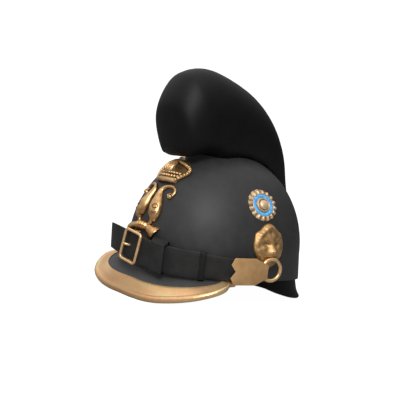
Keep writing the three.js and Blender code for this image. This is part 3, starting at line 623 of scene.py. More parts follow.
# one side of the guard's edge: turn, rim, flare
guardRows = [(77, 26, -3.4), (87, 21.5, -1.5), (98, 14, 0), (113, 6.2, 1.4), (130, 1.2, 1.8),
             (146, 0, 2.4), (163, 0, 3), (180, 0, 3.4)]
guardRound = guardRows + [(360 - turn, rim, flare) for turn, rim, flare in guardRows[-2::-1]]


def makeGuard():
    tuck = -skull["wall"] - guard["tuck"]
    rings = []
    for t in spread(guard["steps"], 0, 1):
        turn, rim, flare = alongRows(guardRound, t)
        foot = max(rim, 0.0)
        base = baseHeight(turn)
        side = [(tuck, base + 9), (tuck, base + 4), (tuck, base - 0.5),
                (tuck + (flare - tuck) * 0.14, foot + (base - foot) * 0.72),
                (tuck + (flare - tuck) * 0.3, foot + (base - foot) * 0.45),
                (tuck + (flare - tuck) * 0.62, foot + (base - foot) * 0.2),
                (flare, foot + 0.5), (flare - 0.35, foot)]
        outer = [skullAt(turn, height, grow) for grow, height in side]
        inner = [skullAt(turn, height, grow - guard["leather"]) for grow, height in side[:-1]]
        inner.append(skullAt(turn, foot, flare - guard["leather"] + 0.35))
        rings.append(outer + inner[::-1])
    bm = newMesh()
    loft(bm, rings)
    closed(bm)
    finishPiece("neck_guard_leather", bm, guardLeather, ["neck_guard"])


makeGuard()
print("neck guard made")


# crest

crest = {"sides": 56, "steps": 120, "upper": 2.15, "under": 2.7, "spread": 1.055, "crown": 1.02,
         "clear": 0.15}
# planes through the skull's middle: angle back from upright, inner reach, outer reach, half width
crestRows = [
    (-38, 140, 149, 14), (-34.3, 131, 169.5, 27), (-30.5, 129, 195.5, 35), (-24, 125.5, 216.5, 39.8),
    (-19.5, 119, 222.3, 41), (-13, 108, 221, 41), (-3, 108, 208, 40.2), (8, 108, 194, 38.5),
    (20, 108, 176.3, 35), (32, 108, 156, 31), (45, 106, 135, 26), (58, 104, 126.5, 21.4),
    (72, 103, 123.2, 18.6), (86, 104, 121, 15), (97, 108, 119.6, 9)]


def makeCrest():
    rings = []
    for t in spread(crest["steps"], 0, 1):
        angle, inner, outer, half = alongRows(crestRows, t)
        middle, reach = (inner + outer) / 2, (outer - inner) / 2
        c, s = cosSin(angle)
        ring = []
        for i, a in enumerate(turnsOf(crest["sides"])):
            square = crest["upper"] if i < crest["sides"] / 2 else crest["under"]
            x = half * crest["spread"] * squared(math.cos(a), square)
            rise = squared(math.sin(a), square)
            if rise > 0:
                rise *= crest["crown"]
            # the pile hangs over the skull's curve at the sides
            hang = 1 - (0.5 - 0.5 * rise) * (1 - math.sqrt(1 - (x / skull["halfWidth"]) ** 2))
            radius = (middle + reach * rise) * hang
            point = Vector((x, radius * s, skull["equator"] + radius * c))
            ring.append(clearOfSkull(point, crest["clear"]))
        rings.append(ring)
    bm = newMesh()
    loft(bm, rings)
    closed(bm, 1e-3)
    finishPiece("crest_wool", bm, woolBlack, ["crest"], crease=60)


makeCrest()
print("crest made")


# crown badge

crown = {"base": 132.6, "half": 18.5, "low": 1.4, "sag": 1.2, "lift": 7.4, "sideLift": 3.4,
         "leafRise": 0.5, "orbUp": 29.4, "orbLift": 5.4, "orbHalf": 5.4, "orbRadius": 2.6, "pearl": 2.1,
         "back": -1, "archBead": 2.2, "archBeadLift": 0.7, "bossUp": 22.6, "bossLift": 9.6, "boss": 2.4,
         "rib": 0.75, "clear": 0.2, "capPaintedShade": 0.7, "lipPaintedShade": 0.3, "seatPaintedShade": 0.15}
# one arch: across, up, lift, radius
crownArch = [(16.5, 3.5, 1.8, 1.6), (21.5, 8.2, 2, 1.6), (26, 13.2, 2.2, 1.7), (24.2, 18, 2.8, 1.7),
             (17.5, 21.8, 4.4, 1.7), (9.5, 25, 6.2, 1.7), (1, 27.2, 7, 1.6)]
# the leaf in the middle: up, lift, half width
crownLeaf = [(12, 5, 4.6), (15.5, 7, 6.6), (19.5, 8.2, 7), (23.5, 8.2, 6), (27, 7.4, 4)]
# the cap inside: up, half width, lift
crownCap = [(1, 15, 3), (8, 19.5, 3), (13.5, 22.5, 1.8), (19, 20, 2), (23, 13, 2.8), (27, 6, 4)]


def crownPlace(across, up, lift):
    return skullFront(across, crown["base"] + up, lift)


def crownBand(x):
    share = abs(x) / crown["half"]
    lift = crown["lift"] + (crown["sideLift"] - crown["lift"]) * share ** 1.4
    return crown["low"] - crown["sag"] * share ** 2, lift


def makeCrown():
    bm = newMesh("hollow")
    hollow = bm.verts.layers.float.get("hollow")
    rings = []
    for t in spread(20, 0, 1):
        up, half, lift = alongRows(crownCap, t)
        places = spread(28, -half, half)
        rings.append([crownPlace(x, up, lift) for x in places]
                     + [crownPlace(x, up, crown["back"]) for x in places[::-1]])
    # the cap behind the openings is painted dark brown: painted shade
    for vert in loft(bm, rings):
        vert[hollow] = crown["capPaintedShade"]
    # the band: a plain rounded lip, then a seat for two rows of pearls
    corners = [(0, None), (0, -3.2), (0.5, -2.2), (1.3, -1.1), (2.4, -0.35), (3.6, 0), (4.8, -0.05),
               (5.6, -0.4), (6.1, -1.1), (6.3, -1.7), (11.6, -2.3), (12.2, -2.6), (12.5, -3.2),
               (12.5, None)]
    lipCorners = 9
    rings = []
    for x in spread(64, -crown["half"], crown["half"]):
        foot, lift = crownBand(x)
        rings.append([crownPlace(x, foot + up, crown["back"] if off is None else lift + off)
                      for up, off in corners])
    # the band's lower lip, and less so the pearls' seat, are painted darker: painted shade
    for i, vert in enumerate(loft(bm, rings)):
        vert[hollow] = crown["lipPaintedShade"] if i % len(corners) < lipCorners else crown["seatPaintedShade"]
    for up, sunk in ((7.7, 1.2), (11.2, 1.4)):
        for x in spread(10, -crown["half"] + 1.2, crown["half"] - 1.2):
            foot, lift = crownBand(x)
            bead(bm, crownPlace(x, foot + up, lift - sunk), crown["pearl"])
    for side in (1, -1):
        path = [(*crownPlace(side * across, up, lift), radius) for across, up, lift, radius in crownArch]
        bar(bm, path, 60, 18, skullNormal)
        for t in spread(10, 0.04, 0.72):
            point = Vector(alongRows(path, t)[:3])
            bead(bm, point + skullNormal(point) * crown["archBeadLift"], crown["archBead"])
    leaf = [(*crownPlace(0, up, lift), wide, crown["leafRise"]) for up, lift, wide in crownLeaf]
    bar(bm, leaf, 30, 28, skullNormal)
    # ribs fan up the leaf to a boss
    for spot in (-0.62, 0.0, 0.62):
        rib = []
        for x, y, z, wide, rise in leaf:
            point = Vector((x + spot * wide, y, z))
            point += skullNormal(point) * wide * rise * math.sqrt(1 - spot * spot)
            rib.append((*point, crown["rib"]))
        bar(bm, rib, 30, 10, skullNormal)
    bead(bm, crownPlace(0, crown["bossUp"], crown["bossLift"]), crown["boss"], 3)
    orb = []
    for share, size in ((-0.8, 0.7), (-0.4, 1), (0.4, 1), (0.8, 0.7)):
        spot = crownPlace(share * crown["orbHalf"], crown["orbUp"], crown["orbLift"])
        orb.append((*spot, crown["orbRadius"] * size))
    bar(bm, orb, 16, 20, skullNormal)
    offSkull(bm, crown["clear"])
    outward(bm)
    finishPiece("crown_badge_brass", bm, brassCrownPaintedLight, ["crown_badge"])


makeCrown()
print("crown badge made")


# scroll badge

scroll = {"lift": 0.3, "square": 2.1, "footHeight": 80.2, "fall": 0.0151, "stand": 1.6, "sink": 0.005,
          "ballX": 24.0, "ballZ": 117.3, "ball": 3.2, "whirl": 0.45, "coil": 0.5, "coilTall": 0.03,
          "coilMiddle": 66, "coilWide": 24, "clear": 0.2, "coilPaintedShade": 0.85, "mouthPaintedShade": 0.9}
# one curled drop: x, z, radius, rise
dropRows = [(9.8, 81.4, 2.8, 0.95), (12, 86.4, 2.6, 1), (13.8, 90.4, 6, 0.9), (13.6, 95.2, 8.6, 0.84),
            (12.6, 100.5, 9.2, 0.82), (11.2, 106, 8.6, 0.84), (9.4, 112.5, 6.6, 0.88),
            (7.4, 118.5, 4.5, 0.95), (7, 123.2, 3.5, 1), (10.6, 127, 2.8, 1), (17, 128.4, 2.3, 1),
            (23.4, 126.7, 2, 1),
            (26.6, 122.4, 1.9, 1), (25.8, 118.4, 2.1, 1)]
# half of the bar: beads and a trumpet with an open mouth, as across and radius
footProfile = [(-0.5, 3.4), (0.6, 4.8), (2, 5.5), (3.4, 4.7), (4.4, 3.6), (5.4, 4.9), (6.9, 5.7),
               (8.4, 4.9), (9.4, 3.8), (10.6, 4.4), (12, 4.9), (13.5, 5.4), (15, 6), (16.5, 6.7),
               (18, 7.4), (19.2, 8), (20.4, 8.6), (21.4, 9), (22.2, 9.2), (22.7, 9), (22.8, 8.5),
               (22.4, 7.8), (21, 6.6), (19, 5), (17, 3), (16.4, 0.02)]
mouthRings = 6  # rows at its end that line the trumpet's mouth


def footAxis(x):
    height = scroll["footHeight"] - scroll["fall"] * x * x
    return skullFront(x, height, scroll["stand"] - scroll["sink"] * x * x)


def makeScroll():
    bm = newMesh("hollow")
    hollow = bm.verts.layers.float.get("hollow")
    rows = [(*skullFront(x, z, scroll["lift"]), radius, rise) for x, z, radius, rise in dropRows]
    # each drop is painted darker where it rises less than 3 mm above the skull: painted shade along its
    # flanks
    for vert in bar(bm, rows, 130, 36, skullNormal, scroll["square"]):
        height = (vert.co - skullFront(vert.co.x, vert.co.z, 0.0)).dot(skullNormal(vert.co))
        vert[hollow] = 0.5 * (1 - smoothStep(height, 0.5, 3.0))

    def dropPoint(t, a, lift):
        x, y, z, radius, rise = alongRows(rows, t)
        point = Vector((x, y, z))
        ahead, behind = (Vector(alongRows(rows, t + step)[:3]) for step in (0.004, -0.004))
        side, out = sideAndOut((ahead - behind).normalized(), skullNormal(point))
        c, s = (squared(v, scroll["square"]) for v in (math.cos(a), math.sin(a)))
        return point + side * radius * c + out * (radius * rise * s + lift)

    # a ringed eye low on the drop and an arc under it
    for middle, size, start, end in ((0.335, 1.0, 0, 360), (0.262, 0.8, 190, 340)):
        coil = []
        for turn in spread(36, math.radians(start), math.radians(end)):
            around = math.radians(scroll["coilMiddle"] + scroll["coilWide"] * size * math.cos(turn))
            t = middle + scroll["coilTall"] * size * math.sin(turn)
            coil.append((*dropPoint(t, around, 0.1), scroll["coil"]))
        # the eye and the arc are painted dark brown: painted shade standing in for engraved lines
        for vert in bar(bm, coil, 90, 8, skullNormal):
            vert[hollow] = scroll["coilPaintedShade"]
    ball = Vector(skullFront(scroll["ballX"], scroll["ballZ"], scroll["lift"] + 0.6))
    bead(bm, ball, scroll["ball"], 3)
    whirl = []
    for k in spread(24, 0, 1):
        turn = k * 2 * math.pi * 1.3 + 0.4
        reach = scroll["ball"] * (0.8 - 0.6 * k)
        x, z = scroll["ballX"] + reach * math.cos(turn), scroll["ballZ"] + reach * math.sin(turn)
        spot = skullFront(x, z, 0)
        rise = 1.1 + math.sqrt(scroll["ball"] ** 2 - reach ** 2)
        whirl.append((*(spot + skullNormal(spot) * rise), scroll["whirl"]))
    bar(bm, whirl, 70, 8, skullNormal)

    turns = turnsOf(36)
    rings = []
    for x, radius in footProfile:
        point = footAxis(x)
        heading = (footAxis(x + 0.4) - footAxis(x - 0.4)).normalized()
        side, out = sideAndOut(heading, skullNormal(point))
        rings.append([point + (side * math.cos(a) + out * math.sin(a)) * radius for a in turns])
    # the lining of each trumpet's mouth is painted dark brown: painted shade
    for vert in loft(bm, rings)[-mouthRings * len(turns):]:
        vert[hollow] = scroll["mouthPaintedShade"]
    bmesh.ops.mirror(bm, geom=bm.verts[:] + bm.edges[:] + bm.faces[:], axis="X", merge_dist=1e-5)
    offSkull(bm, scroll["clear"])
    closed(bm)
    finishPiece("scroll_badge_brass", bm, brassCast, ["scroll_badge"])


makeScroll()
print("scroll badge made")


# chin strap

strap = {"farHalf": 15.4, "nearHalf": 14.2, "thick": 2.0, "layer": 2.5, "gap": 0.3, "keeper": 1.3,
         "wire": 1.7, "plateHeight": 42.5, "end": 0.018, "tail": 82.0}
plateZ = strap["plateHeight"]
# outer face of the strap from the left round the front: x, y, z, lean, share of its width
strapRows = [
    (110, -22, plateZ, 0, 0.9), (106.6, -41, plateZ, 0, 0.9), (103, -58, 44.4, 0, 0.92),
    (94, -74, 45.9, 0, 0.95), (80, -89, 46.6, 0.3, 0.97), (62, -104, 47, 0.6, 1),
    (41, -116.6, 48.8, 1.2, 1), (21, -125.4, 52.2, 1.2, 1), (4, -128.8, 55.4, 0.8, 1),
    (-13, -130.2, 58, 0.8, 1), (-35, -129, 60.2, 0.2, 1),
    (-58, -121, 59.6, -0.6, 1), (-78, -105, 55.4, -0.4, 0.97), (-90, -86, 49.8, 0, 0.92),
    (-97, -70, 46.8, 0, 0.87), (-100.8, -56, 44.8, 0, 0.84), (-104.4, -40, plateZ, 0, 0.83),
    (-107.8, -22, plateZ, 0, 0.83)]


def strapPoint(t, out, up):
    x, y, z, lean, wide = alongRows(strapRows, t)
    a, b = alongRows(strapRows, t - 0.002), alongRows(strapRows, t + 0.002)
    normal = Vector((a[1] - b[1], b[0] - a[0], 0)).normalized()
    return Vector((x, y, z + up * wide)) + normal * (out - lean * up * wide / strap["farHalf"])


def strapAcross(x):
    low, high = 0.12, 0.88
    for _ in range(40):
        middle = (low + high) / 2
        if alongRows(strapRows, middle)[0] > x:
            low = middle
        else:
            high = middle
    return low


# section of a strap: share of the thickness from the face in, how far from the edge, cut colour
strapEdge = [(0.0, 6.0, 0.0), (0.0, 0.75, 0.0), (0.07, 0.3, 0.0), (0.2, 0.06, 1.0), (0.5, 0.0, 1.0),
             (0.8, 0.06, 1.0), (0.93, 0.3, 0.0), (1.0, 0.75, 0.0), (1.0, 6.0, 0.0)]
strapSection = [(share, 1, inset, cut) for share, inset, cut in strapEdge[::-1]]
strapSection += [(share, -1, inset, cut) for share, inset, cut in strapEdge]


def strapRing(place, half):
    return [place(share, side * (half - inset)) for share, side, inset, _ in strapSection]


def strapRings(start, end, steps, outer, half):
    rings = []
    for t in spread(steps, start, end):
        rings.append(strapRing(lambda share, up: strapPoint(t, outer - strap["thick"] * share, up), half))
    return rings


cutTags = [cut for _, _, _, cut in strapSection]

buckle = {"x": 2.4, "half": 13.4, "height": 17.6, "corner": 4.0, "barRadius": 1.3, "prong": 1.4,
          "tip": -11.2, "turnBack": 12.0, "slope": -9.7}
buckle["rail"] = strap["gap"] + strap["wire"] + 0.7
buckle["barOut"] = -strap["layer"] - strap["thick"] - strap["gap"] - 1.3
buckleT = strapAcross(buckle["x"])
buckleOrigin = strapPoint(buckleT, 0, 0)
buckleUp = (strapPoint(buckleT, 0, 1) - buckleOrigin).normalized()
buckleAlong = buckleUp.cross(strapPoint(buckleT, 1, 0) - buckleOrigin).normalized()
buckleOut = buckleAlong.cross(buckleUp).normalized()
buckleTurn = Matrix((buckleAlong, buckleUp, buckleOut)).transposed().to_4x4()
buckleFrame = (Matrix.Translation(buckleOrigin) @ buckleTurn
               @ Matrix.Rotation(math.radians(buckle["slope"]), 4, "Z"))


def inBuckle(along, up, out):
    return buckleFrame @ Vector((along, up, out))


def makeStraps():
    tailT = strapAcross(strap["tail"])
    bm = newMesh("cut")
    rings = strapRings(tailT, 1 - strap["end"], 150, 0, strap["farHalf"])
    loft(bm, rings, tags=cutTags, layer="cut")
    closed(bm)
    finishPiece("chin_strap_far_leather", bm, strapLeather, ["chin_strap_far"])

    half = strap["nearHalf"]
    top = -strap["layer"]
    rings = strapRings(strap["end"], buckleT, 110, top, half)
    middle = buckle["barOut"]
    reach = top - middle
    under = middle - buckle["barRadius"] - strap["gap"]

    def roundBar(share, up):
        radius = reach - strap["thick"] * share
        return inBuckle(-radius * c, up, middle + radius * s)

    def behindBar(share, up):
        return inBuckle(along, up, under - strap["thick"] * (1 - share))

    for degrees in spread(14, 90, -90)[1:]:
        c, s = cosSin(degrees)
        rings.append(strapRing(roundBar, half))
    for along in spread(4, 3, buckle["turnBack"]):
        rings.append(strapRing(behindBar, half))
    bm = newMesh("cut")
    loft(bm, rings, tags=cutTags, layer="cut")
    closed(bm)
    finishPiece("chin_strap_near_leather", bm, strapLeather, ["chin_strap_near"])


# keepers round both straps: corners of the loop as out and up, from its front's lower corner
keeperHalf = strap["farHalf"] + strap["gap"]
keeperBack = -strap["layer"] - strap["thick"] - strap["gap"]
keepers = [
    {"node": "strap_keeper_1", "start": 47.8, "end": 30.0, "bend": 0.8, "loose": 6.0, "shade": 0.0,
     "corners": [(0.5, -keeperHalf), (0.5, keeperHalf), (-4.2, keeperHalf + 3.4), (-6.6, keeperHalf + 1.2),
                 (-6.6, -keeperHalf)]},
    {"node": "strap_keeper_2", "start": 84.6, "end": 79.8, "bend": 0.9, "loose": 0.0, "shade": 1.0,
     "corners": [(0.3, -keeperHalf), (0.3, keeperHalf), (keeperBack, keeperHalf),
                 (keeperBack, -keeperHalf)]},
]


def roundedLoop(corners, bend, steps=5):
    loop = []
    for i, corner in enumerate(corners):
        spot = Vector(corner)
        before = (Vector(corners[i - 1]) - spot).normalized() * bend
        after = (Vector(corners[(i + 1) % len(corners)]) - spot).normalized() * bend
        for t in spread(steps, 0, 1):
            point = spot + before * (1 - t) ** 2 + after * t ** 2
            heading = (after * t - before * (1 - t)).normalized()
            loop.append((point.x, point.y, heading.y, -heading.x))
    return loop


def makeKeeper(node, start, end, bend, corners, loose, shade):
    first, last = strapAcross(start), strapAcross(end)
    middle, reach = (first + last) / 2, (last - first) / 2
    edge = 0.25 * reach / max(abs(start - end) / 2, 0.1)
    thick = strap["keeper"]
    corner = [(reach - edge * 0.4, 0.0), (reach, 0.25), (reach, thick - 0.4), (reach - edge, thick - 0.08),
              (reach - 2.4 * edge, thick)]
    section = [(-place, lift) for place, lift in corner] + [(0.0, thick)] + corner[::-1] + [(0.0, 0.0)]
    rings = []
    for o, u, c, s in roundedLoop(corners, bend):
        ring = []
        for place, lift in section:
            # the front stands off at its left end
            stand = loose * (0.5 - 0.5 * place / reach) if o > 0 else 0.0
            ring.append(strapPoint(middle + place, o + stand + c * lift, u + s * lift))
        rings.append(ring)
    bm = newMesh("cut", "dark")
    # The loop's inside and edges are painted near-black as painted shade; the shade value paints the front
    # face near-black too, which on the second keeper is partly dark leather, partly painted shade.
    tags = [1.0 if lift < thick - 0.2 else shade for _, lift in section]
    loft(bm, rings, looped=True, tags=tags, layer="dark")
    closed(bm)
    finishPiece(node + "_leather", bm, strapLeather, [node])


makeStraps()
for row in keepers:
    makeKeeper(**row)
print("straps made")


def makeBuckle():
    bm = newMesh("hollow")
    wire, rail, corner = strap["wire"], buckle["rail"], buckle["corner"]
    radius, out, height = buckle["barRadius"], buckle["barOut"], buckle["height"]
    turns = turnsOf(16)
    rings = []
    for sx, sy, start in ((1, 1, 0), (-1, 1, 90), (-1, -1, 180), (1, -1, 270)):
        for degrees in spread(8, start, start + 90):
            c, s = cosSin(degrees)
            x, y = sx * (buckle["half"] - corner) + corner * c, sy * (height - corner) + corner * s
            rings.append([inBuckle(x + c * wire * math.cos(a), y + s * wire * math.cos(a),
                                   rail + wire * math.sin(a)) for a in turns])
    loft(bm, rings, looped=True)
    # the centre bar bends back behind the straps
    bend = [(height, rail), (height, out + 2), (height - 0.8, out), (8, out)]
    bend += [(-y, z) for y, z in bend[::-1]]
    along = (inBuckle(1, 0, 0) - inBuckle(0, 0, 0)).normalized()
    bar(bm, [(*inBuckle(0, y, z), radius) for y, z in bend], 60, 14, lambda point: along)
    outward(bm)
    finishPiece("buckle_frame_brass", bm, brassPolished, ["buckle_frame"])

    bm = newMesh("hollow")
    inner, outer = radius + strap["gap"], radius + 1.3
    collar = [(inner, -1.4), (outer - 0.2, -1.4), (outer, -1.2), (outer, 1.2), (outer - 0.2, 1.4),
              (inner, 1.4), (inner, -1.4)]
    turn = buckleFrame @ Matrix.Translation((0, 0, out)) @ Matrix.Rotation(math.radians(90), 4, "X")
    turnedProfile(bm, collar, 24, turn)
    over = rail + wire + 0.5
    arm = [(-3, out - 0.4, 1), (-3.8, out + 3, 1), (-5.4, 1.4, 1), (-8, over - 0.7, 1),
           (buckle["tip"], over, 0.7)]
    up = (inBuckle(0, 1, 0) - inBuckle(0, 0, 0)).normalized()
    rows = [(*inBuckle(x, 0, z), buckle["prong"] * scale) for x, z, scale in arm]
    bar(bm, rows, 30, 14, lambda point: up)
    closed(bm)
    finishPiece("buckle_prong_brass", bm, brassPolished, ["buckle_prong"])


makeBuckle()
print("buckle made")


# end plates and rings

plate = {"front": (102.2, -60.0), "rear": (111.0, -13.0), "thick": 1.2, "ringMean": 12.6, "ringWire": 2.2,
         "tabHalf": 4.2, "tabBack": 14.0, "play": 0.9, "ringUp": 3.0}
plateStep = Vector(plate["rear"]) - Vector(plate["front"])
plate["length"] = plateStep.length
plateFrame = (Matrix.Translation((*plate["front"], strap["plateHeight"]))
              @ Matrix.Rotation(math.atan2(plateStep.y, plateStep.x), 4, "Z"))
plateOutline = [(5, -14.4), (33.5, -14.4), (plate["length"] + 1.6, -6.2), (plate["length"] + 1.6, 9.2),
                (32, 16.6), (4, 16.6), (-0.4, 8.6), (6, 0.8), (0, -6.4)]


def raisedLeaf(bm, points, offset, edge):
    before = set(bm.verts)
    face = bm.faces.new([bm.verts.new(point) for point in points])
    bm.normal_update()
    grown = bmesh.ops.extrude_face_region(bm, geom=[face])["geom"]
    bmesh.ops.translate(bm, verts=[v for v in grown if isinstance(v, bmesh.types.BMVert)], vec=offset)
    fresh = [v for v in bm.verts if v not in before]
    faces = list({f for v in fresh for f in v.link_faces})
    bmesh.ops.recalc_face_normals(bm, faces=faces)
    edges = [e for e in {e for v in fresh for e in v.link_edges} if e.calc_face_angle(0) > 0.5]
    bmesh.ops.bevel(bm, geom=edges, offset=edge, offset_type="OFFSET", affect="EDGES", segments=2,
                    profile=0.5, material=-1, clamp_overlap=True)


def makeFittings(side, flip):
    def settle(bm):
        bmesh.ops.transform(bm, matrix=plateFrame, verts=bm.verts)
        if flip:
            bmesh.ops.scale(bm, verts=bm.verts, vec=(-1, 1, 1))
        outward(bm)

    thick, wire, tab = plate["thick"], plate["ringWire"], plate["tabHalf"]
    bm = newMesh()
    raisedLeaf(bm, [(x, 0, z) for x, z in plateOutline], (0, thick, 0), 0.22)
    # a tab at the rear is folded round the ring
    room = 2 * (wire + strap["gap"])
    depth = thick + room + thick
    bend = plate["length"] - depth / 2
    back = bend - plate["tabBack"]
    middle = bend - plate["tabBack"] / 2
    hook = [(middle, 0.1), (bend - 1.5, 0.1), (bend, 0)]
    hook += arcPoints((bend, depth / 2), depth / 2, -90, 90, 12)[1:]
    hook += [(back, depth), (back, depth - thick), (bend, depth - thick)]
    hook += arcPoints((bend, depth / 2), room / 2, 90, -90, 12)[1:]
    hook += [(middle, thick)]
    raisedLeaf(bm, [(x, y, -tab) for x, y in hook], (0, 0, 2 * tab), 0.15)
    settle(bm)
    finishPiece("end_plate_" + side + "_brass", bm, brassSheet, ["end_plate_" + side], crease=40)

    mean = plate["ringMean"]
    centre = Vector((plate["length"] - thick - strap["gap"] - wire - plate["play"] + mean,
                     thick + strap["gap"] + wire, plate["ringUp"]))
    bm = newMesh("hollow")
    turns = turnsOf(20)
    rings = []
    for around in turnsOf(72):
        c, s = math.cos(around), math.sin(around)
        rings.append([centre + Vector(((mean + wire * math.cos(a)) * c, wire * math.sin(a),
                                       (mean + wire * math.cos(a)) * s)) for a in turns])
    loft(bm, rings, looped=True)
    settle(bm)
    finishPiece("ring_" + side + "_brass", bm, brassPolished, ["ring_" + side])


# lion masks

lion = {"y": -3.5, "z": 75.0, "half": 22.6, "top": 19.6, "bottom": 29.0, "edge": 2.2, "locks": 9,
        "lockDepth": 0.016, "tuft": 0.2, "brow": 0.07, "chin": 0.42, "ear": 0.05, "dome": 2.4,
        "strand": 0.45, "around": 144, "rings": 60}
# raised forms: across, up, half width, half height, turn in degrees, height
lionForms = [
    (0, -10, 9, 7, 0, 5.6), (0, -1.5, 5.4, 9.5, 0, 3.2), (0, -7.6, 5, 2.6, 0, 1.4), (0, 9, 11, 6, 0, 2.0),
    (0, 19.5, 5, 4.4, 0, 3.2), (0, -21, 5, 6.5, 0, 2.0), (0, 13.5, 2, 3.4, 0, -1.0)]
lionPairs = [
    (9, 4.6, 5.6, 2.2, 14, 1.5), (8.4, -0.6, 3.4, 2.2, 8, -2.5), (8.4, -0.7, 1.8, 1.2, 8, 1.2),
    (13, -8, 5, 6, 0, 1.8), (4.4, -11.8, 3.6, 3.0, 0, 1.1), (2.1, -8.8, 1.1, 0.9, 0, -0.9),
    (4.6, -15.6, 5.0, 1.1, -18, -1.3), (14.5, 10.5, 2.8, 3.2, 20, 2.2), (6, 17.4, 3.2, 3.4, 30, 2.0),
    (10.6, 13.8, 2.6, 3.2, 40, 1.8), (17.6, 5.6, 2.6, 3.4, 20, 1.3), (19.6, -0.6, 2.8, 3.2, 0, 1.2),
    (18.8, -7.4, 2.8, 3.2, -10, 1.3), (16.4, -13.6, 2.8, 3.2, -25, 1.9), (12.2, -18.4, 2.8, 3.2, -30, 1.9),
    (7.6, -22, 2.6, 3.4, -20, 1.7), (14.4, 2.4, 3.2, 5, 14, 0.7), (11, -4, 3, 3, 0, 0.7)]
lionAll = lionForms + lionPairs
lionAll += [(-y, z, wide, tall, -turn, high) for y, z, wide, tall, turn, high in lionPairs]


def lionOutline(angle):
    c, s = math.cos(angle), math.sin(angle)
    narrow = 1 - lion["chin"] * s ** 4 if s < 0 else 1 - lion["brow"] * s * s
    lock = 1 + lion["lockDepth"] * math.cos(lion["locks"] * angle + math.pi / 2)
    tuft = lion["tuft"] * math.exp(-(c / 0.42) ** 2) if s > 0 else 0
    reach = lion["bottom"] if s < 0 else lion["top"]
    ear = 1 + lion["ear"] * math.exp(-((abs(c) - 0.82) / 0.1) ** 2) if s > 0 else 1
    return lion["half"] * c * narrow * lock * ear, reach * s * lock * ear * (1 + tuft)


def lionHeight(y, z, rim):
    raised = 0.0
    for formY, formZ, wide, tall, turn, high in lionAll:
        c, s = cosSin(turn)
        dy, dz = y - formY, z - formZ
        raised += high * math.exp(-((dy * c + dz * s) / wide) ** 2 - ((dz * c - dy * s) / tall) ** 2)
    # combed strands in the mane
    mane = smoothStep(rim, 0.66, 0.84)
    strand = noise.noise(Vector((math.atan2(z, y) * 6.0, rim * 3.0, 3.7))) * lion["strand"]
    flatter = 1 - 0.35 * smoothStep(rim, 0.9, 1.0)
    return lion["edge"] + lion["dome"] * (1 - rim ** 3) + raised * flatter + mane * strand


def makeLion(side, flip):
    def ringOf(share, drop):
        ring = []
        for angle in turnsOf(lion["around"]):
            y, z = lionOutline(angle)
            y, z = y * share, z * share
            wall = skullSide(y + lion["y"], z + lion["z"])
            high = lionHeight(y, z, share)
            ring.append(Vector((wall + 0.1 + high * drop, y + lion["y"], z + lion["z"])))
        return ring

    rings = [ringOf(0.985, 0.0), ringOf(1.0, 0.15), ringOf(1.0, 0.7), ringOf(0.99, 0.92)]
    rings += [ringOf(share, 1.0) for share in spread(lion["rings"], 0.97, 0.004)]
    bm = newMesh("hollow")
    loft(bm, rings)
    if flip:
        bmesh.ops.scale(bm, verts=bm.verts, vec=(-1, 1, 1))
    closed(bm)
    # the mask's concave places are painted darker: painted shade
    markHollows(bm, 2, 1.6)
    finishPiece("lion_" + side + "_brass", bm, brassMask, ["lion_" + side], crease=60)


for side, flip in (("left", False), ("right", True)):
    makeFittings(side, flip)
    makeLion(side, flip)
print("side fittings made")


# cockade

cockade = {"turn": 85.4, "height": 118.1, "flutes": 16, "around": 320, "forward": -6.5,
           "pleat": 2.5, "pleatIn": 0.4, "pleatFrom": 14.3, "pleatTo": 15.4, "pleatPaintedShade": 0.62}
cockadeSeat = skullAt(cockade["turn"], cockade["height"])
cockadeFrame = (Matrix.Translation(cockadeSeat) @ Matrix.Rotation(math.radians(cockade["forward"]), 4, "Z")
                @ Vector((0, 0, 1)).rotation_difference(skullNormal(cockadeSeat)).to_matrix().to_4x4())


def seated(bm):
    bmesh.ops.transform(bm, matrix=cockadeFrame, verts=bm.verts)
    offSkull(bm, 0.1)
    closed(bm, 1e-5)


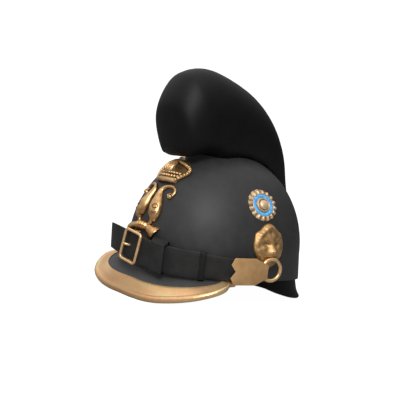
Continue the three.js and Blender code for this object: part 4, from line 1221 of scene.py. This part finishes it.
def makeCockade():
    rows = [(13.9, -7), (18.9, -7), (19.3, -4), (19.3, -0.6), (19.15, 0), (18.8, 0.5), (18, 1.0),
            (16.6, 1.6), (15.2, 2.1), (14.6, 2.4), (14.2, 2.4), (13.9, 1.9)]
    depths = [smoothStep(radius, cockade["pleatFrom"], cockade["pleatTo"]) for radius, _ in rows]
    rings = []
    shades = []
    for i, angle in enumerate(turnsOf(cockade["around"])):
        # a pleat goes from its crest, 0, to its valley, 1, and back
        swing = abs((i / cockade["around"] * cockade["flutes"]) % 1.0 - 0.5) * 2
        wave = swing - 0.5
        ring = []
        for (radius, high), depth in zip(rows, depths):
            reach = radius - cockade["pleatIn"] * (wave + 0.5) * depth
            ring.append(Vector((reach * math.cos(angle), reach * math.sin(angle),
                                high - (cockade["pleat"] * wave * depth if high > -2 else 0))))
            # the valley half of each pleat is painted brown: painted shade
            shades.append(cockade["pleatPaintedShade"] * smoothStep(swing, 0.4, 0.7) * depth)
        rings.append(ring)
    bm = newMesh("hollow")
    hollow = bm.verts.layers.float.get("hollow")
    for vert, shade in zip(loft(bm, rings, looped=True), shades):
        vert[hollow] = shade
    outward(bm)
    seated(bm)
    finishPiece("cockade_rim_brass", bm, brassStud, ["cockade_rim"], crease=30)

    bm = newMesh()
    turnedProfile(bm, [(9.2, -7), (13.7, -7), (13.7, 1.6), (13.4, 1.9), (12.6, 2.2), (11.5, 2.3),
                       (10.3, 2.2), (9.5, 1.9), (9.2, 1.6), (9.2, -7)], 72, Matrix())
    seated(bm)
    finishPiece("cockade_enamel_ring", bm, enamelBlue, ["cockade_enamel"], crease=40)

    bm = newMesh("hollow")
    turnedProfile(bm, [(0, -7), (8.9, -7), (8.9, 2.4), (8.7, 3.0), (8.2, 3.4), (7.7, 3.5), (7.2, 3.35),
                       (6.8, 2.8), (6.5, 2.7), (6.3, 3.0), (6.0, 3.7), (5.5, 4.5), (4.5, 5.2), (3.1, 5.7),
                       (1.5, 5.95), (0, 6)], 64, Matrix())
    # the stud's concave groove is painted darker: painted shade
    markHollows(bm, 1, 0.8)
    seated(bm)
    finishPiece("cockade_stud_brass", bm, brassStud, ["cockade_stud"])


makeCockade()
print("cockade made")


# floor, light and camera

stage = {"floor": 6.0, "key": 10.5, "lamp": (0.78, -0.66, 0.8), "aim": (0, 0, 0.1), "glow": 0.95,
         "axis": (-0.22, -0.12, 0.97),
         "sky": ((0.0, 0.06), (0.25, 0.12), (0.55, 0.65), (1.0, 1.1))}


def makeStage():
    bm = bmesh.new()
    bmesh.ops.create_grid(bm, x_segments=2, y_segments=2, size=stage["floor"])
    mesh = bpy.data.meshes.new("floor")
    bm.to_mesh(mesh)
    bm.free()
    floor = bpy.data.objects.new("floor", mesh)
    bpy.context.scene.collection.objects.link(floor)
    finish = Finish("floorWhite", Roughness=0.9, Specular_IOR_Level=0.0)
    finish.set(Base_Color=(0.3, 0.3, 0.3, 1.0), Emission_Strength=1.0)
    seen = finish.node("ShaderNodeLightPath", output="Is Camera Ray") * stage["glow"]
    finish.set(Emission_Color=finish.grey(seen, (0.0, 0.0), (1.0, 1.0)))
    mesh.materials.append(finish.material)

    # the open room: white behind, a soft ceiling above for the brass to show
    world = bpy.data.worlds.new("studio")
    bpy.context.scene.world = world
    world.use_nodes = True
    tree = world.node_tree

    def add(kind, **sockets):
        node = tree.nodes.new(kind)
        for name, value in sockets.items():
            node.inputs[name].default_value = value
        return node

    def join(source, output, target, socket):
        tree.links.new(source.outputs[output], target.inputs[socket])

    white = add("ShaderNodeBackground", Color=(1, 1, 1, 1), Strength=1.1)
    room = tree.nodes["Background"]
    room.inputs["Strength"].default_value = 1.0
    rays = add("ShaderNodeLightPath")
    place = add("ShaderNodeTexCoord")
    tilt = add("ShaderNodeVectorMath")
    tilt.operation = "DOT_PRODUCT"
    tilt.inputs[1].default_value = stage["axis"]
    ramp = add("ShaderNodeValToRGB")
    setStops(ramp.color_ramp, [(spot, (value, value, value)) for spot, value in stage["sky"]])
    mix = add("ShaderNodeMixShader")
    join(place, "Generated", tilt, 0)
    join(tilt, "Value", ramp, "Fac")
    join(ramp, "Color", room, "Color")
    join(rays, "Is Camera Ray", mix, 0)
    join(room, 0, mix, 1)
    join(white, 0, mix, 2)
    join(mix, 0, tree.nodes["World Output"], 0)


def areaLight(name, place, target, size, energy, shadow):
    data = bpy.data.lights.new(name, "AREA")
    data.shape = "DISK"
    data.size = size
    data.energy = energy
    data.use_shadow = shadow
    lamp = bpy.data.objects.new(name, data)
    lamp.location = place
    lamp.rotation_euler = (Vector(target) - Vector(place)).to_track_quat("-Z", "Y").to_euler()
    bpy.context.scene.collection.objects.link(lamp)


view = {"place": (0.6467, -0.54915, 0.1691), "right": (0.631, 0.7684, 0.1083),
        "up": (-0.1309, -0.032, 0.9909), "ahead": (-0.7645, 0.6397, -0.0802)}


def makeCamera():
    data = bpy.data.cameras.new("camera")
    data.sensor_width = 36.0
    data.lens = 57.09  # 35 degrees over 420 pixels
    camera = bpy.data.objects.new("camera", data)
    turn = Matrix((view["right"], view["up"], -Vector(view["ahead"]))).transposed().to_4x4()
    camera.matrix_world = Matrix.Translation(view["place"]) @ turn
    bpy.context.scene.collection.objects.link(camera)
    bpy.context.scene.camera = camera


makeStage()
for name, share, size, shadow in (("key", 0.6, 0.5, True), ("screen", 0.4, 0.9, False)):
    areaLight(name, stage["lamp"], stage["aim"], size, stage["key"] * share, shadow)
makeCamera()
bpy.context.scene.view_settings.view_transform = "Standard"
print("stage made")
